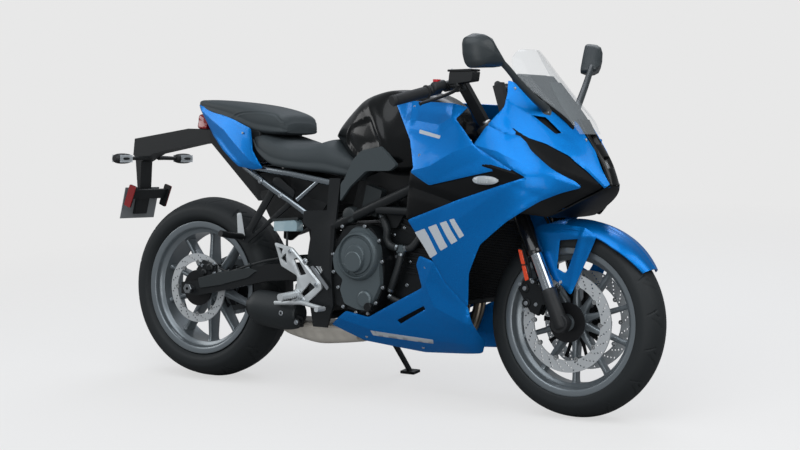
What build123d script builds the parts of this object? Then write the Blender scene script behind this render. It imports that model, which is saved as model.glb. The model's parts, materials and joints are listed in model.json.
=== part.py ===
from build123d import *
import os
from math import acos, cos, pi, radians, sin, tan

# Middleweight sport motorcycle, parked on its side stand. Millimetres.
# Every piece is drawn on the upright motorcycle: x forward from the middle of the
# wheelbase, y to the rider's left, z up from the ground. park() then leans the
# finished piece onto the side stand and writes it.

# ---- driving dimensions ----------------------------------------------------
wheelbase = 1465
front_tyre_radius = 300
front_tyre_half = 60
rear_tyre_radius = 315
rear_tyre_half = 90
rim_radius = 231
bead_radius = 216
front_rim_half = 51
rear_rim_half = 77
spoke_count = 10
rake = 25
steer_trail = 104
fork_lead = 32.5
fork_half_track = 106
park_lean = 9
park_shift = (36.75, -176.45)
gap = 0.3
bend_step = 15
panel_wall = 3.5
nose_half = 30
cowl_backing = panel_wall + gap

steer_ground_x = wheelbase / 2 + steer_trail
front_axle = (wheelbase / 2, 0, front_tyre_radius)
rear_axle = (-wheelbase / 2, 0, rear_tyre_radius)
steer_up = (-sin(radians(rake)), 0, cos(radians(rake)))


def steer_x(z):
    """Where the steering axis is at a height."""
    return steer_ground_x - tan(radians(rake)) * z


def level(z):
    """Plane square to the steering axis where it crosses a height; its x points forwards."""
    return Plane(origin=(steer_x(z), 0, z), x_dir=(cos(radians(rake)), 0, sin(radians(rake))),
                 z_dir=steer_up)


def along(z_low, z_high):
    """Length along the steering axis between two heights on it."""
    return (z_high - z_low) / cos(radians(rake))


# ---- shared ways of making a piece ------------------------------------------
def park(piece, name):
    """Lean a finished piece onto the side stand, label it and write it."""
    leaned = piece.part.rotate(Axis.X, -park_lean)
    leaned = leaned.moved(Location((park_shift[0], park_shift[1], 0)))
    leaned.label = name
    export_step(leaned, f"parts/{name}.step")


def rounded(points, bend):
    """The same route with each corner that turns sharply cut into short runs of a bend radius."""
    route = [Vector(*points[0])]
    for before, corner, after in zip(points, points[1:], points[2:]):
        corner = Vector(*corner)
        back, on = (Vector(*before) - corner).normalized(), (Vector(*after) - corner).normalized()
        turn = pi - acos(back.dot(on))
        steps = round(turn / radians(bend_step))
        if steps == 0:
            route.append(corner)
            continue
        centre = corner + (back + on).normalized() * (bend / cos(turn / 2))
        first, square = corner + back * bend * tan(turn / 2) - centre, -back * bend
        for step in range(steps + 1):
            angle = turn * step / steps
            route.append(centre + first * cos(angle) + square * sin(angle))
    return route + [Vector(*points[-1])]


def tube(points, radius, bend=20):
    """Round bar along straight runs joined by bends."""
    route = rounded(points, bend)
    with BuildPart() as bar:
        with BuildLine() as path:
            Polyline(*route)
        with BuildSketch(Plane(origin=route[0], z_dir=route[1] - route[0])):
            Circle(radius)
        sweep(path=path.wire(), transition=Transition.RIGHT)
    return bar.part


def rod(start, end, radius):
    """Straight round bar between two points."""
    return tube([start, end], radius)


def plate(outline, y_low, y_high):
    """Flat piece with an outline in x and z, between two widths."""
    with BuildPart() as piece:
        with BuildSketch(Plane.XZ.offset(-y_high)):
            with BuildLine():
                Polyline(*outline, close=True)
            make_face()
        extrude(amount=y_high - y_low)
    return piece.part


def ring(centre, y_low, y_high, outer, inner=0):
    """Disc or ring on a wheel axis, between two widths."""
    with BuildPart() as piece:
        with BuildSketch(Plane(origin=(centre[0], y_high, centre[2]), z_dir=(0, -1, 0))):
            Circle(outer)
            if inner:
                Circle(inner, mode=Mode.SUBTRACT)
        extrude(amount=y_high - y_low)
    return piece.part


def through_x(stations):
    """Ruled solid through sections across x: each station is x and its (y, z) corners."""
    with BuildPart() as body:
        for x, corners in stations:
            with BuildSketch(Plane(origin=(x, 0, 0), x_dir=(0, 1, 0), z_dir=(1, 0, 0))):
                with BuildLine():
                    Polyline(*corners, close=True)
                make_face()
        loft(ruled=True)
    return body.part


def through_y(widths):
    """Ruled solid through sections across y: each section is y and its (x, z) corners."""
    with BuildPart() as body:
        for y, corners in widths:
            with BuildSketch(Plane.XZ.offset(-y)):
                with BuildLine():
                    Polyline(*corners, close=True)
                make_face()
        loft(ruled=True)
    return body.part


def from_axle(centre, offsets):
    """Outline given as (x, z) distances from a wheel axis."""
    return [(centre[0] + x, centre[2] + z) for x, z in offsets]


def through_z(levels):
    """Ruled solid through flat sections up z: each level is z and its (x, y) corners."""
    with BuildPart() as body:
        for z, corners in levels:
            with BuildSketch(Plane.XY.offset(z)):
                with BuildLine():
                    Polyline(*corners, close=True)
                make_face()
        loft(ruled=True)
    return body.part


def both_halves(half):
    """Full outline from the corners on one side, given from bottom to top as (y, z)."""
    return half + [(-y, z) for y, z in reversed(half)]


def inward(points, depth):
    """The same open outline moved to its right-hand side by a depth."""
    moved = []
    for i, (x, y) in enumerate(points):
        before = points[max(i - 1, 0)]
        after = points[min(i + 1, len(points) - 1)]
        along = Vector(after[0] - before[0], after[1] - before[1]).normalized()
        moved.append((x + along.Y * depth, y - along.X * depth))
    return moved


# ---- fairing surface ---------------------------------------------------------
# One row for each height: (x, half width) from the tail of the panels to the nose.
fairing_rows = [
    (150, [(-130, 105), (20, 108), (160, 105), (260, 100), (350, 95), (420, 88), (445, 70), (455, 30)]),
    (240, [(-130, 155), (20, 160), (160, 175), (260, 185), (350, 190), (430, 187), (468, 165),
           (480, 120)]),
    (334, [(-130, 165), (20, 175), (160, 190), (285, 198), (370, 202), (451, 203), (480, 200),
           (500, 180)]),
    (480, [(-130, 170), (20, 180), (160, 200), (280, 212), (390, 223), (472, 226), (520, 224),
           (560, 210)]),
    (600, [(-130, 170), (50, 190), (200, 222), (320, 226), (430, 228), (520, 227), (598, 217),
           (660, 190)]),
    (730, [(-130, 150), (100, 175), (250, 212), (400, 229), (523, 231), (649, 225), (751, 170),
           (852, 30)]),
    (850, [(-130, 130), (100, 158), (230, 188), (350, 203), (450, 206), (607, 190), (715, 112),
           (786, 30)]),
    (950, [(-130, 80), (100, 114), (200, 127), (300, 143), (400, 166), (540, 165), (633, 110),
           (726, 30)]),
    (1060, [(-130, 50), (100, 60), (190, 80), (300, 105), (400, 130), (500, 137), (575, 100), (632, 30)]),
]


def fairing_body(depth):
    """Left half of the solid inside the fairing surface, a depth in from it."""
    levels = []
    for z, row in fairing_rows:
        face = inward(row, depth)
        levels.append((z, face + [(face[-1][0], -20), (face[0][0], -20)]))
    return through_z(levels)


def fairing_skin(outline, depth, wall):
    """Left-hand fairing panel with a side outline, its face a depth inside the surface."""
    with BuildPart() as panel:
        add(fairing_body(depth))
        add(plate(outline, nose_half, 400), mode=Mode.INTERSECT)
        add(fairing_body(depth + wall), mode=Mode.SUBTRACT)
    return panel.part


# ==== wheels ==================================================================
def tyre(centre, radius, half, rim_half):
    """Tubeless tyre: crown, side walls and beads, open towards the rim."""
    wall = 9
    widest = radius - 52
    shoulder = radius - 30
    crown = radius - 12
    outer = [(-rim_half + 9, bead_radius + 6.3), (-rim_half + 7, rim_radius + 0.8), (-half, widest),
             (-half * 0.98, shoulder), (-half * 0.6, crown), (0, radius)]
    inner = [(-rim_half + 17, bead_radius + 6.3), (-rim_half + 16, rim_radius + 4),
             (-half + wall, widest),
             (-half * 0.6, crown - wall - 2), (0, radius - wall)]
    face = outer + [(-y, r) for y, r in reversed(outer[:-1])]
    back = inner + [(-y, r) for y, r in reversed(inner[:-1])]
    with BuildPart() as piece:
        with BuildSketch(Plane(origin=centre, x_dir=(0, 1, 0), z_dir=(1, 0, 0))):
            with BuildLine():
                Polyline(*face, *back[::-1], close=True)
            make_face()
        revolve(axis=Axis(centre, (0, 1, 0)))
    return piece.part


def cast_wheel(centre, half, hub_left, hub_right, bore):
    """Cast wheel: dropped-centre rim, straight spokes, hub with an axle bore."""
    well = 16
    outer = [(-half, rim_radius), (-half, bead_radius - 2), (-half + 20, bead_radius - 8),
             (-half + 26, bead_radius - 8 - well)]
    inner = [(-half + 6, rim_radius), (-half + 8, bead_radius + 6), (-half + 24, bead_radius + 5),
             (-half + 30, bead_radius - well + 2)]
    below = outer + [(-y, r) for y, r in reversed(outer)]
    above = inner + [(-y, r) for y, r in reversed(inner)]
    with BuildPart() as wheel:
        with BuildSketch(Plane(origin=centre, x_dir=(0, 1, 0), z_dir=(1, 0, 0))):
            with BuildLine():
                Polyline(*below, *above[::-1], close=True)
            make_face()
        revolve(axis=Axis(centre, (0, 1, 0)))
        add(ring(centre, hub_right, hub_left, hub_radius, bore))
        for number in range(spoke_count):
            angle = radians(360 / spoke_count * number + spoke_turn)
            outwards = Plane(origin=centre, x_dir=(0, 1, 0), z_dir=(cos(angle), 0, sin(angle)))
            with BuildSketch(outwards.offset(hub_radius - 3)):
                Rectangle(spoke_deep_root, spoke_wide_root)
            with BuildSketch(outwards.offset(bead_radius - 8 - well + 2)):
                Rectangle(spoke_deep_tip, spoke_wide_tip)
            loft(ruled=True)
    return wheel.part


hub_radius = 37
spoke_turn = 18
spoke_deep_root, spoke_wide_root = 42, 21
spoke_deep_tip, spoke_wide_tip = 30, 12
front_axle_radius = 11
front_bore = 8
rear_axle_radius = 13
front_disc_outer = 155
front_disc_inner = 118
front_disc_y = 64
disc_wall = 5
rear_disc_outer = 120
rear_disc_inner = 92
rear_disc_y = 88
sprocket_y = 104
sprocket_radius = 102

with BuildPart() as front_tyre:
    add(tyre(front_axle, front_tyre_radius, front_tyre_half, front_rim_half))
park(front_tyre, "front_tyre")

with BuildPart() as rear_tyre:
    add(tyre(rear_axle, rear_tyre_radius, rear_tyre_half, rear_rim_half))
park(rear_tyre, "rear_tyre")

with BuildPart() as front_rim:
    add(cast_wheel(front_axle, front_rim_half, front_disc_y - 1, 1 - front_disc_y,
                   front_axle_radius + gap))
park(front_rim, "front_rim")

with BuildPart() as rear_rim:
    add(cast_wheel(rear_axle, rear_rim_half, sprocket_y - 9, 1 - rear_disc_y, rear_axle_radius + gap))
park(rear_rim, "rear_rim")


# Disc carrier: outer and bore radius of its ring, and its arms.
carrier_outer, carrier_bore = 58, 26
carrier_arms, carrier_arm_width = 5, 16


def brake_disc(centre, y_mid, outer, inner, arms):
    """Brake disc ring on a carrier whose arms reach its inner edge."""
    y_low, y_high = y_mid - disc_wall / 2, y_mid + disc_wall / 2
    with BuildPart() as piece:
        add(ring(centre, y_low, y_high, outer, inner))
        add(ring(centre, y_low, y_high, carrier_outer, carrier_bore))
        for number in range(arms):
            angle = radians(360 / arms * number)
            outwards = Plane(origin=(centre[0], y_mid, centre[2]), x_dir=(0, 1, 0),
                             z_dir=(cos(angle), 0, sin(angle)))
            with BuildSketch(outwards.offset(carrier_outer - 6)):
                Rectangle(disc_wall, carrier_arm_width)
            extrude(amount=inner - carrier_outer + 11)
    return piece.part


with BuildPart() as front_discs:
    for side in (-1, 1):
        add(brake_disc(front_axle, side * (front_disc_y + disc_wall / 2 - 1 + gap), front_disc_outer,
                       front_disc_inner, carrier_arms))
park(front_discs, "front_discs")

with BuildPart() as rear_disc:
    add(brake_disc(rear_axle, -(rear_disc_y - 1 + gap + disc_wall / 2), rear_disc_outer, rear_disc_inner,
                   carrier_arms))
park(rear_disc, "rear_disc")

with BuildPart() as rear_sprocket:
    add(ring(rear_axle, sprocket_y - 9 + gap, sprocket_y - 3, 72, 30))
    add(ring(rear_axle, sprocket_y - 3, sprocket_y + 3, sprocket_radius - 4, 60))
park(rear_sprocket, "rear_sprocket")

# ==== axles ===================================================================
with BuildPart() as front_axle_bar:
    add(ring(front_axle, -118, 118, front_axle_radius, front_bore))
park(front_axle_bar, "front_axle")

with BuildPart() as rear_axle_bar:
    add(ring(rear_axle, -142, 156, rear_axle_radius, 6))
park(rear_axle_bar, "rear_axle")

# ==== fork and steering ========================================================
# Heights here are those where the steering axis crosses them.
axle_clamp_z = 276
slider_z = 388
fork_tube_z = 498
lower_yoke_z = 686
upper_yoke_z = 868
fork_top_z = 892
slider_radius = 20.5
tube_radius = 26.5
axle_clamp_radius = 26
stem_radius = 17
head_tube_radius = 34
lower_yoke_thick = 34
upper_yoke_thick = 18
legs = [(fork_lead, -fork_half_track), (fork_lead, fork_half_track)]


def leg_pair(z_low, z_high, radius):
    """Round length of both fork legs between two heights."""
    with BuildPart() as pair:
        with BuildSketch(level(z_low)):
            with Locations(*legs):
                Circle(radius)
        extrude(amount=along(z_low, z_high))
    return pair.part


with BuildPart() as fork_legs:
    add(leg_pair(fork_tube_z, fork_top_z, tube_radius))
    add(leg_pair(slider_z, fork_tube_z, slider_radius))
    add(leg_pair(axle_clamp_z, slider_z, axle_clamp_radius))
    for side in (-1, 1):
        low, high = side * fork_half_track - 15, side * fork_half_track + 15
        add(ring(front_axle, low, high, 30))
        add(ring(front_axle, low - 20, high + 20, front_axle_radius + gap), mode=Mode.SUBTRACT)
park(fork_legs, "fork_legs")


def yoke(z, thick, ear, boss):
    """Fork yoke: flat plate round both legs and the stem."""
    with BuildPart() as piece:
        with BuildSketch(level(z)):
            with Locations(*legs):
                Circle(ear)
            Circle(boss)
            make_hull()
            with Locations(*legs):
                Circle(tube_radius + gap, mode=Mode.SUBTRACT)
        extrude(amount=thick)
    return piece.part


with BuildPart() as fork_yokes:
    add(yoke(lower_yoke_z, lower_yoke_thick, 40, 36))
    with BuildSketch(level(lower_yoke_z)):
        Circle(stem_radius)
    extrude(amount=along(lower_yoke_z, upper_yoke_z) + 4)
    add(yoke(upper_yoke_z, upper_yoke_thick, 38, 34))
park(fork_yokes, "fork_yokes")

bar_inner = (352, 106, 1036)
bar_outer = (266, 358, 971)
bar_radius = 11
grip_radius = 16.5
with BuildPart() as handlebars:
    for side in (-1, 1):
        ends = [(p[0], side * p[1], p[2]) for p in (bar_inner, bar_outer)]
        add(rod(ends[0], ends[1], bar_radius))
    for side in (-1, 1):
        with BuildSketch(level(upper_yoke_z).offset(upper_yoke_thick + gap)):
            with Locations((6, side * 66)):
                Rectangle(32, 22)
        with BuildSketch(level(bar_inner[2])):
            with Locations((0, side * (bar_inner[1] + 4))):
                Rectangle(32, 26)
        loft(ruled=True)


def on_bar(along_share, side):
    """Point on the handlebar at a share of its length."""
    point = [a + (b - a) * along_share for a, b in zip(bar_inner, bar_outer)]
    return (point[0], side * point[1], point[2])


with handlebars:
    for side in (-1, 1):
        add(rod(on_bar(0.52, side), on_bar(1.0, side), grip_radius))
park(handlebars, "handlebars")

switch_radius, perch_radius, lever_radius = 18, 17, 6
with BuildPart() as hand_controls:
    for side in (-1, 1):
        add(rod(on_bar(0.32, side), on_bar(0.5, side), switch_radius))
        add(rod(on_bar(0.16, side), on_bar(0.26, side), perch_radius))
        perch = on_bar(0.21, side)
        lever_root = (perch[0] + 45, perch[1] + side * 12, perch[2] - 4)
        add(rod(perch, lever_root, 10))
        add(tube([lever_root, (perch[0] + 52, perch[1] + side * 60, perch[2] - 22),
                  (perch[0] + 20, perch[1] + side * 185, perch[2] - 60)], lever_radius, 30))
        add(rod(on_bar(0.0, side), on_bar(1.0, side), bar_radius + gap), mode=Mode.SUBTRACT)
    add(plate([(358, 1046), (412, 1056), (404, 1092), (352, 1082)], -178, -134))
    add(plate([(374, 1020), (386, 1022), (386, 1060), (374, 1060)], -160, -148))
park(hand_controls, "hand_controls")

# front mudguard: a crowned blade over the tyre with an arm down each leg
guard_clear = 14
with BuildPart() as front_fender:
    guard_inner = front_tyre_radius + guard_clear
    with BuildSketch(Plane(origin=front_axle, x_dir=(0, 1, 0), z_dir=(1, 0, 0))):
        with BuildLine():
            Polyline((-77, 262), (-70, guard_inner - 14), (-30, guard_inner), (30, guard_inner),
                     (70, guard_inner - 14), (77, 262), (73.5, 262), (67, guard_inner - 17),
                     (29, guard_inner - 3.5), (-29, guard_inner - 3.5), (-67, guard_inner - 17),
                     (-73.5, 262), close=True)
        make_face()
    revolve(axis=Axis(front_axle, (0, 1, 0)))
    add(plate([(600, 505), (622, 590), (600, 700), (900, 700), (900, 585), (860, 555), (735, 560)],
              -110, 110), mode=Mode.INTERSECT)
    for side in (-1, 1):
        low, high = sorted((side * 73, side * (fork_half_track - tube_radius - gap)))
        add(plate([(590, 592), (655, 600), (712, 470), (688, 462), (612, 552)], low, high))
        add(plate([(735, 565), (800, 560), (735, 462), (688, 462)], low, high))
park(front_fender, "front_fender")

caliper_body = [(-120.5, 26), (-166.5, 96), (-142.5, 128), (-92.5, 108), (-68.5, 80), (-92.5, 15)]
caliper_lug = [(-120.5, 100), (-92.5, 108), (-18.5, 105), (-26.5, 60), (-77.5, 50)]
with BuildPart() as front_calipers:
    for side in (-1, 1):
        low, high = sorted((side * 48, side * 88))
        add(plate(from_axle(front_axle, caliper_body), low, high))
        slot_low, slot_high = sorted((side * (front_disc_y - 4), side * (front_disc_y + 10)))
        add(ring(front_axle, slot_low, slot_high, front_disc_outer + 3), mode=Mode.SUBTRACT)
        low, high = sorted((side * 79, side * 88))
        add(plate(from_axle(front_axle, caliper_lug), low, high))
    add(leg_pair(axle_clamp_z - 20, slider_z + 60, axle_clamp_radius + gap), mode=Mode.SUBTRACT)
park(front_calipers, "front_calipers")

with BuildPart() as brake_hoses:
    for side in (-1, 1):
        low_end, high_end = level(470).from_local_coords((-14, side * 98,
                                                          0)), level(640).from_local_coords((-14,
                                                                                             side * 70,
                                                                                             0))
        add(tube([(604, side * 76, 426.6), tuple(low_end), tuple(high_end),
                  tuple(level(684.4).from_local_coords((-14, side * 60, 0)))], 4, 40))
park(brake_hoses, "brake_hoses")

# ==== frame ====================================================================
pivot = (-155, 0, 412)
pivot_radius = 12
front_sprocket = (-75, 0, 410)
frame_plate_y = 151.3
frame_plate_wall = 10
head_tube_low = lower_yoke_z + lower_yoke_thick * cos(radians(rake)) + 2
head_tube_high = upper_yoke_z - 2
frame_plate_outline = [(-75, 718), (-120, 718), (-128, 612), (-222, 606), (-228, 566), (-190, 545),
                       (-205, 450),
                       (-190, 300), (-175, 226), (-120, 226), (-95, 300), (-105, 400), (-95, 545)]
with BuildPart() as main_frame:
    with BuildSketch(level(head_tube_low)):
        Circle(head_tube_radius)
    extrude(amount=along(head_tube_low, head_tube_high))
    for side in (-1, 1):
        add(tube([(steer_x(835), side * 20, 835), (330, side * 95, 800), (180, side * 130, 690),
                  (-10, side * 140, 605), (-110, side * 146, 560)], 17, 40))
        add(tube([(steer_x(765), side * 20, 770), (350, side * 90, 700), (240, side * 132, 620),
                  (60, side * 138, 620)], 14, 30))
        low, high = sorted((side * frame_plate_y, side * (frame_plate_y + frame_plate_wall)))
        add(plate(frame_plate_outline, low, high))
    add(rod((-112, -152, 560), (-112, 152, 560), 14))
    add(rod((-176, -152, 590), (-176, 152, 590), 12))
    add(rod((-150, -152, 262), (-150, 152, 262), 13))
    with BuildSketch(level(head_tube_low - 10)):
        Circle(stem_radius + gap)
    extrude(amount=along(head_tube_low, head_tube_high) + 30, mode=Mode.SUBTRACT)
    add(ring(pivot, -180, 180, pivot_radius + gap), mode=Mode.SUBTRACT)
park(main_frame, "main_frame")

frame_cover_outline = [(-64, 713), (-30, 782), (4, 813), (85, 828), (150, 768), (124, 749), (32, 746),
                       (-36, 692),
                       (-76.6, 640), (-76.6, 700)]
with BuildPart() as frame_covers:
    add(plate(frame_cover_outline, frame_plate_y + 0.5, frame_plate_y + frame_plate_wall))
    mirror(about=Plane.XZ)
park(frame_covers, "frame_covers")

with BuildPart() as rear_subframe:
    rail_y = frame_plate_y - 11 - gap
    for side in (-1, 1):
        add(tube([(-88, side * rail_y, 697), (-300, side * rail_y, 727), (-500, side * 126, 748),
                  (-720, side * 70, 850)], 11, 60))
        add(tube([(-208, side * rail_y, 588), (-400, side * rail_y, 690), (-505, side * 126, 746)], 11,
                 60))
        add(rod((-180, side * rail_y, 706), (-268, side * rail_y, 640), 8))
    add(rod((-500, -126, 748), (-500, 126, 748), 9))
park(rear_subframe, "rear_subframe")

arm_left_y = 124
with BuildPart() as swingarm:
    add(ring(pivot, -136, 88, 30))
    add(ring(pivot, 86, 140, 19))
    add(plate([(-165, 425), (-395, 412), (-395, 372), (-165, 384)], -110, arm_left_y + 4))
    add(through_x([(-155, [(-110, 384), (-136, 384), (-136, 444), (-110, 444)]),
                   (-390, [(-104, 362), (-134, 362), (-134, 418), (-104, 418)]),
                   (rear_axle[0] + 32.5, [(-110, 292), (-132, 292), (-132, 345), (-110, 345)]),
                   (rear_axle[0] - 42.5, [(-112, 295), (-130, 295), (-130, 335), (-112, 335)])]))
    add(through_x([(-155, [(124, 384), (142, 384), (142, 444), (124, 444)]),
                   (-390, [(124, 362), (148, 362), (148, 418), (124, 418)]),
                   (rear_axle[0] + 32.5, [(124, 292), (148, 292), (148, 345), (124, 345)]),
                   (rear_axle[0] - 42.5, [(126, 295), (146, 295), (146, 335), (126, 335)])]))
    add(ring(pivot, -180, 180, pivot_radius + gap), mode=Mode.SUBTRACT)
    add(ring(rear_axle, -150, 150, rear_axle_radius + gap), mode=Mode.SUBTRACT)
park(swingarm, "swingarm")

with BuildPart() as swingarm_pivot:
    add(ring(pivot, -frame_plate_y - frame_plate_wall, frame_plate_y + frame_plate_wall, pivot_radius))
park(swingarm_pivot, "swingarm_pivot")

shock_foot = Vector(-285, 0, 425.8)
shock_head = Vector(-186.4, 0, 581.5)
with BuildPart() as rear_shock:
    add(rod(tuple(shock_foot), tuple(shock_head), 14))
    spring_low = shock_foot + (shock_head - shock_foot) * 0.15
    spring_high = shock_foot + (shock_head - shock_foot) * 0.85
    add(rod(tuple(spring_low), tuple(spring_high), 32))
park(rear_shock, "rear_shock")

# ==== engine ====================================================================
with BuildPart() as engine:
    add(plate([(-90, 265), (-90, 535), (-97.7, 550), (-97.7, 570), (-80, 572), (60, 575), (150, 690),
               (290, 640), (238, 470), (250, 400), (230, 262),
               (40, 240)], -92, 92))
park(engine, "engine")

cover_bolts = [(-62, 318), (-76, 432), (-62, 528), (22, 558), (88, 514), (101, 408), (72, 296), (8, 274)]
with BuildPart() as engine_covers:
    add(ring((15, 0, 459), -176, -150, 86))
    add(ring((15, 0, 459), -184, -176, 72))
    add(ring((15, 0, 459), -190, -184, 44))
    add(ring((58, 0, 330), -168, -150, 34))
    for x, z in cover_bolts:
        add(ring((x, 0, z), -157, -150, 7))
    add(plate([(-70, 300), (-85, 440), (-70, 540), (30, 568), (100, 520), (112, 400), (80, 280),
               (10, 262)],
              -150, -92 - gap))
    add(ring((70, 0, 400), 92 + gap, 150, 88))
    add(plate([(-118, 350), (-130, 440), (-60, 475), (20, 450), (20, 350)], 116, 126))
    add(plate([(130, 560), (170, 690), (285, 645), (240, 520)], -98, -92 - gap))
    add(plate([(130, 560), (170, 690), (285, 645), (240, 520)], 92 + gap, 98))
park(engine_covers, "engine_covers")

with BuildPart() as radiator:
    add(plate([(372, 335), (398, 335), (452, 610), (426, 610)], -168, 168))
    for side in (-1, 1):
        add(rod((432, side * 66, 604), (408, side * 60, 712.5), 6))
park(radiator, "radiator")

header_radius = 20
with BuildPart() as exhaust_pipes:
    for y in (-48, 48):
        add(tube([(267.6, y, 560), (340, y, 545), (345, y, 330), (300, y * 0.8, 215),
                  (100, y * 0.62, 200),
                  (-60, y * 0.62, 200)], header_radius, 30))
    add(through_x([(-60 - gap, [(-70, 178), (70, 178), (70, 228), (-70, 228)]),
                   (-222, [(-84, 162), (80, 162), (80, 228), (-84, 228)]),
                   (-300, [(-93.7, 176), (72, 176), (72, 230), (-93.7, 230)]),
                   (-385, [(-93.7, 190), (60, 190), (60, 232), (-93.7, 232)])]))
park(exhaust_pipes, "exhaust_pipes")

with BuildPart() as muffler:
    add(through_x([(-250, [(-168, 218), (-96, 218), (-96, 300), (-168, 300)]),
                   (-300, [(-172, 208), (-94, 208), (-94, 318), (-172, 318)]),
                   (-420, [(-172, 216), (-94, 216), (-94, 326), (-172, 326)]),
                   (-458, [(-160, 240), (-100, 240), (-100, 310), (-160, 310)])]))
park(muffler, "muffler")

chain_pitch_radius_front = 38
chain_half = 9
with BuildPart() as drive_chain:
    with BuildSketch(Plane.XZ.offset(-(sprocket_y + chain_half))):
        with Locations((rear_axle[0], rear_axle[2])):
            Circle(sprocket_radius + 9)
        with Locations((front_sprocket[0], front_sprocket[2])):
            Circle(chain_pitch_radius_front + 9)
        make_hull()
    extrude(amount=2 * chain_half)
    with BuildSketch(Plane.XZ.offset(-(sprocket_y + chain_half))):
        with Locations((rear_axle[0], rear_axle[2])):
            Circle(sprocket_radius - 4 + gap)
        with Locations((front_sprocket[0], front_sprocket[2])):
            Circle(chain_pitch_radius_front - 6)
        make_hull()
    extrude(amount=2 * chain_half, mode=Mode.SUBTRACT)
park(drive_chain, "drive_chain")

# ==== tank, seats and tail =======================================================
tank_side = [(-172, 849.5), (-174, 853), (-160, 888), (-91, 956), (-37, 990), (48, 1010), (180, 1004),
             (300, 955), (318, 905),
             (300, 820), (232, 752), (120, 740), (20, 745), (-66, 776.5),
             (-110, 792.5)]
cap_x = 70
cap_radius = 45
cap_seat_z = 1000
cap_wall = 10
cap_hinge = (119, 0, 1005)
cap_barrel = 3.5
with BuildPart() as fuel_tank:
    add(through_x([(-180, both_halves([(20, 700), (60, 840), (40, 870), (22, 890), (10, 905)])),
                   (-95, both_halves([(60, 700), (108, 850), (92, 905), (60, 940), (30, 962)])),
                   (0, both_halves([(80, 700), (147, 840), (136, 925), (100, 985), (50, 1008)])),
                   (100, both_halves([(90, 700), (153, 850), (104, 950), (88, 1003), (50, 1014)])),
                   (230, both_halves([(90, 700), (150, 850), (120, 930), (80, 975), (40, 992)])),
                   (330, both_halves([(60, 700), (90, 850), (80, 910), (50, 940), (30, 950)]))]))
    add(plate(tank_side, -200, 200), mode=Mode.INTERSECT)
    with BuildSketch(Plane.XY.offset(cap_seat_z - gap)):
        with Locations((cap_x, 0)):
            Circle(cap_radius + 1)
        with Locations((cap_hinge[0] - 4, 0)):
            Rectangle(4 * cap_barrel + 2, 30)
    extrude(amount=100, mode=Mode.SUBTRACT)
park(fuel_tank, "fuel_tank")

with BuildPart() as fuel_cap:
    with BuildSketch(Plane.XY.offset(cap_seat_z)):
        with Locations((cap_x, 0)):
            Circle(cap_radius)
    extrude(amount=cap_wall)
    add(plate([(cap_x, cap_seat_z), (cap_hinge[0], cap_seat_z + 2), (cap_hinge[0], cap_seat_z + 8),
               (cap_x, cap_seat_z + 8)], -12, 12))
    add(ring(cap_hinge, -12, 12, cap_barrel))
park(fuel_cap, "fuel_cap")

seat_top = [(-66, 776), (-110, 792), (-172, 849), (-233, 831), (-307, 826), (-404, 846), (-448, 858)]
with BuildPart() as rider_seat:
    add(through_x([(-40, both_halves([(95, 690), (112, 740), (105, 800), (60, 860)])),
                   (-110, both_halves([(100, 700), (122, 745), (112, 800), (60, 860)])),
                   (-300, both_halves([(110, 720), (150, 770), (138, 810), (60, 835)])),
                   (-490, both_halves([(100, 740), (142, 785), (135, 840), (70, 864)]))]))
    add(plate(seat_top + [(-484, 849), (-404, 760), (-200, 735), (-80, 722)], -200, 200),
        mode=Mode.INTERSECT)
park(rider_seat, "rider_seat")

with BuildPart() as passenger_seat:
    add(through_x([(-355, both_halves([(100, 840), (108, 852), (100, 862), (60, 870)])),
                   (-450, both_halves([(105, 850), (120, 880), (112, 930), (60, 946)])),
                   (-600, both_halves([(98, 880), (108, 910), (100, 948), (50, 964)])),
                   (-795, both_halves([(40, 930), (48, 945), (42, 962), (20, 972)]))]))
    add(plate([(-357, 858.3), (-440, 938), (-600, 962), (-770, 972), (-790, 955), (-700, 922.5),
               (-560, 889.5),
               (-484, 858.6)], -200, 200), mode=Mode.INTERSECT)
park(passenger_seat, "passenger_seat")

tail_outline = [(-783, 950), (-700, 922), (-560, 889), (-484, 858), (-404, 770), (-380, 742), (-493, 747),
                (-609, 801), (-679, 850)]
with BuildPart() as tail_cowls:
    add(through_x([(-370, [(151.5, 720), (151.5, 800), (139.5, 900), (135.5, 900), (147.5, 800),
                           (147.5, 720)]),
                   (-493, [(149.5, 720), (145.5, 800), (127.5, 900), (123.5, 900), (141.5, 800),
                           (145.5, 720)]),
                   (-620, [(118, 780), (116, 860), (104, 930), (100, 930), (112, 860), (114, 780)]),
                   (-800, [(52, 880), (50, 930), (48, 970), (44, 970), (46, 930), (48, 880)])]))
    add(plate(tail_outline, 0, 300), mode=Mode.INTERSECT)
    mirror(about=Plane.XZ)
park(tail_cowls, "tail_cowls")

with BuildPart() as undertail:
    add(through_x([(-145, both_halves([(90, 628), (104, 706)])),
                   (-330, both_halves([(84, 640), (104, 730)]))]))
    add(through_x([(-329, both_halves([(80, 640), (100, 750.5)])),
                   (-480, both_halves([(80, 628), (106, 716)])),
                   (-735, both_halves([(34, 822), (44, 868)]))]))
    add(plate([(-735.3, 822), (-735.3, 866), (-840, 868), (-1092, 827), (-1098, 768), (-1060, 745),
               (-1000, 775),
               (-800, 815)], -32, 32))
    add(plate([(-1090, 770), (-1060, 755), (-1064, 640), (-1084, 556), (-1098.5, 556), (-1077.4, 652)],
              -30, 30))
park(undertail, "undertail")

with BuildPart() as number_plate:
    add(plate([(-1078, 652), (-1081, 652), (-1106, 540), (-1103, 540)], -90, 90))
park(number_plate, "number_plate")

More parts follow.
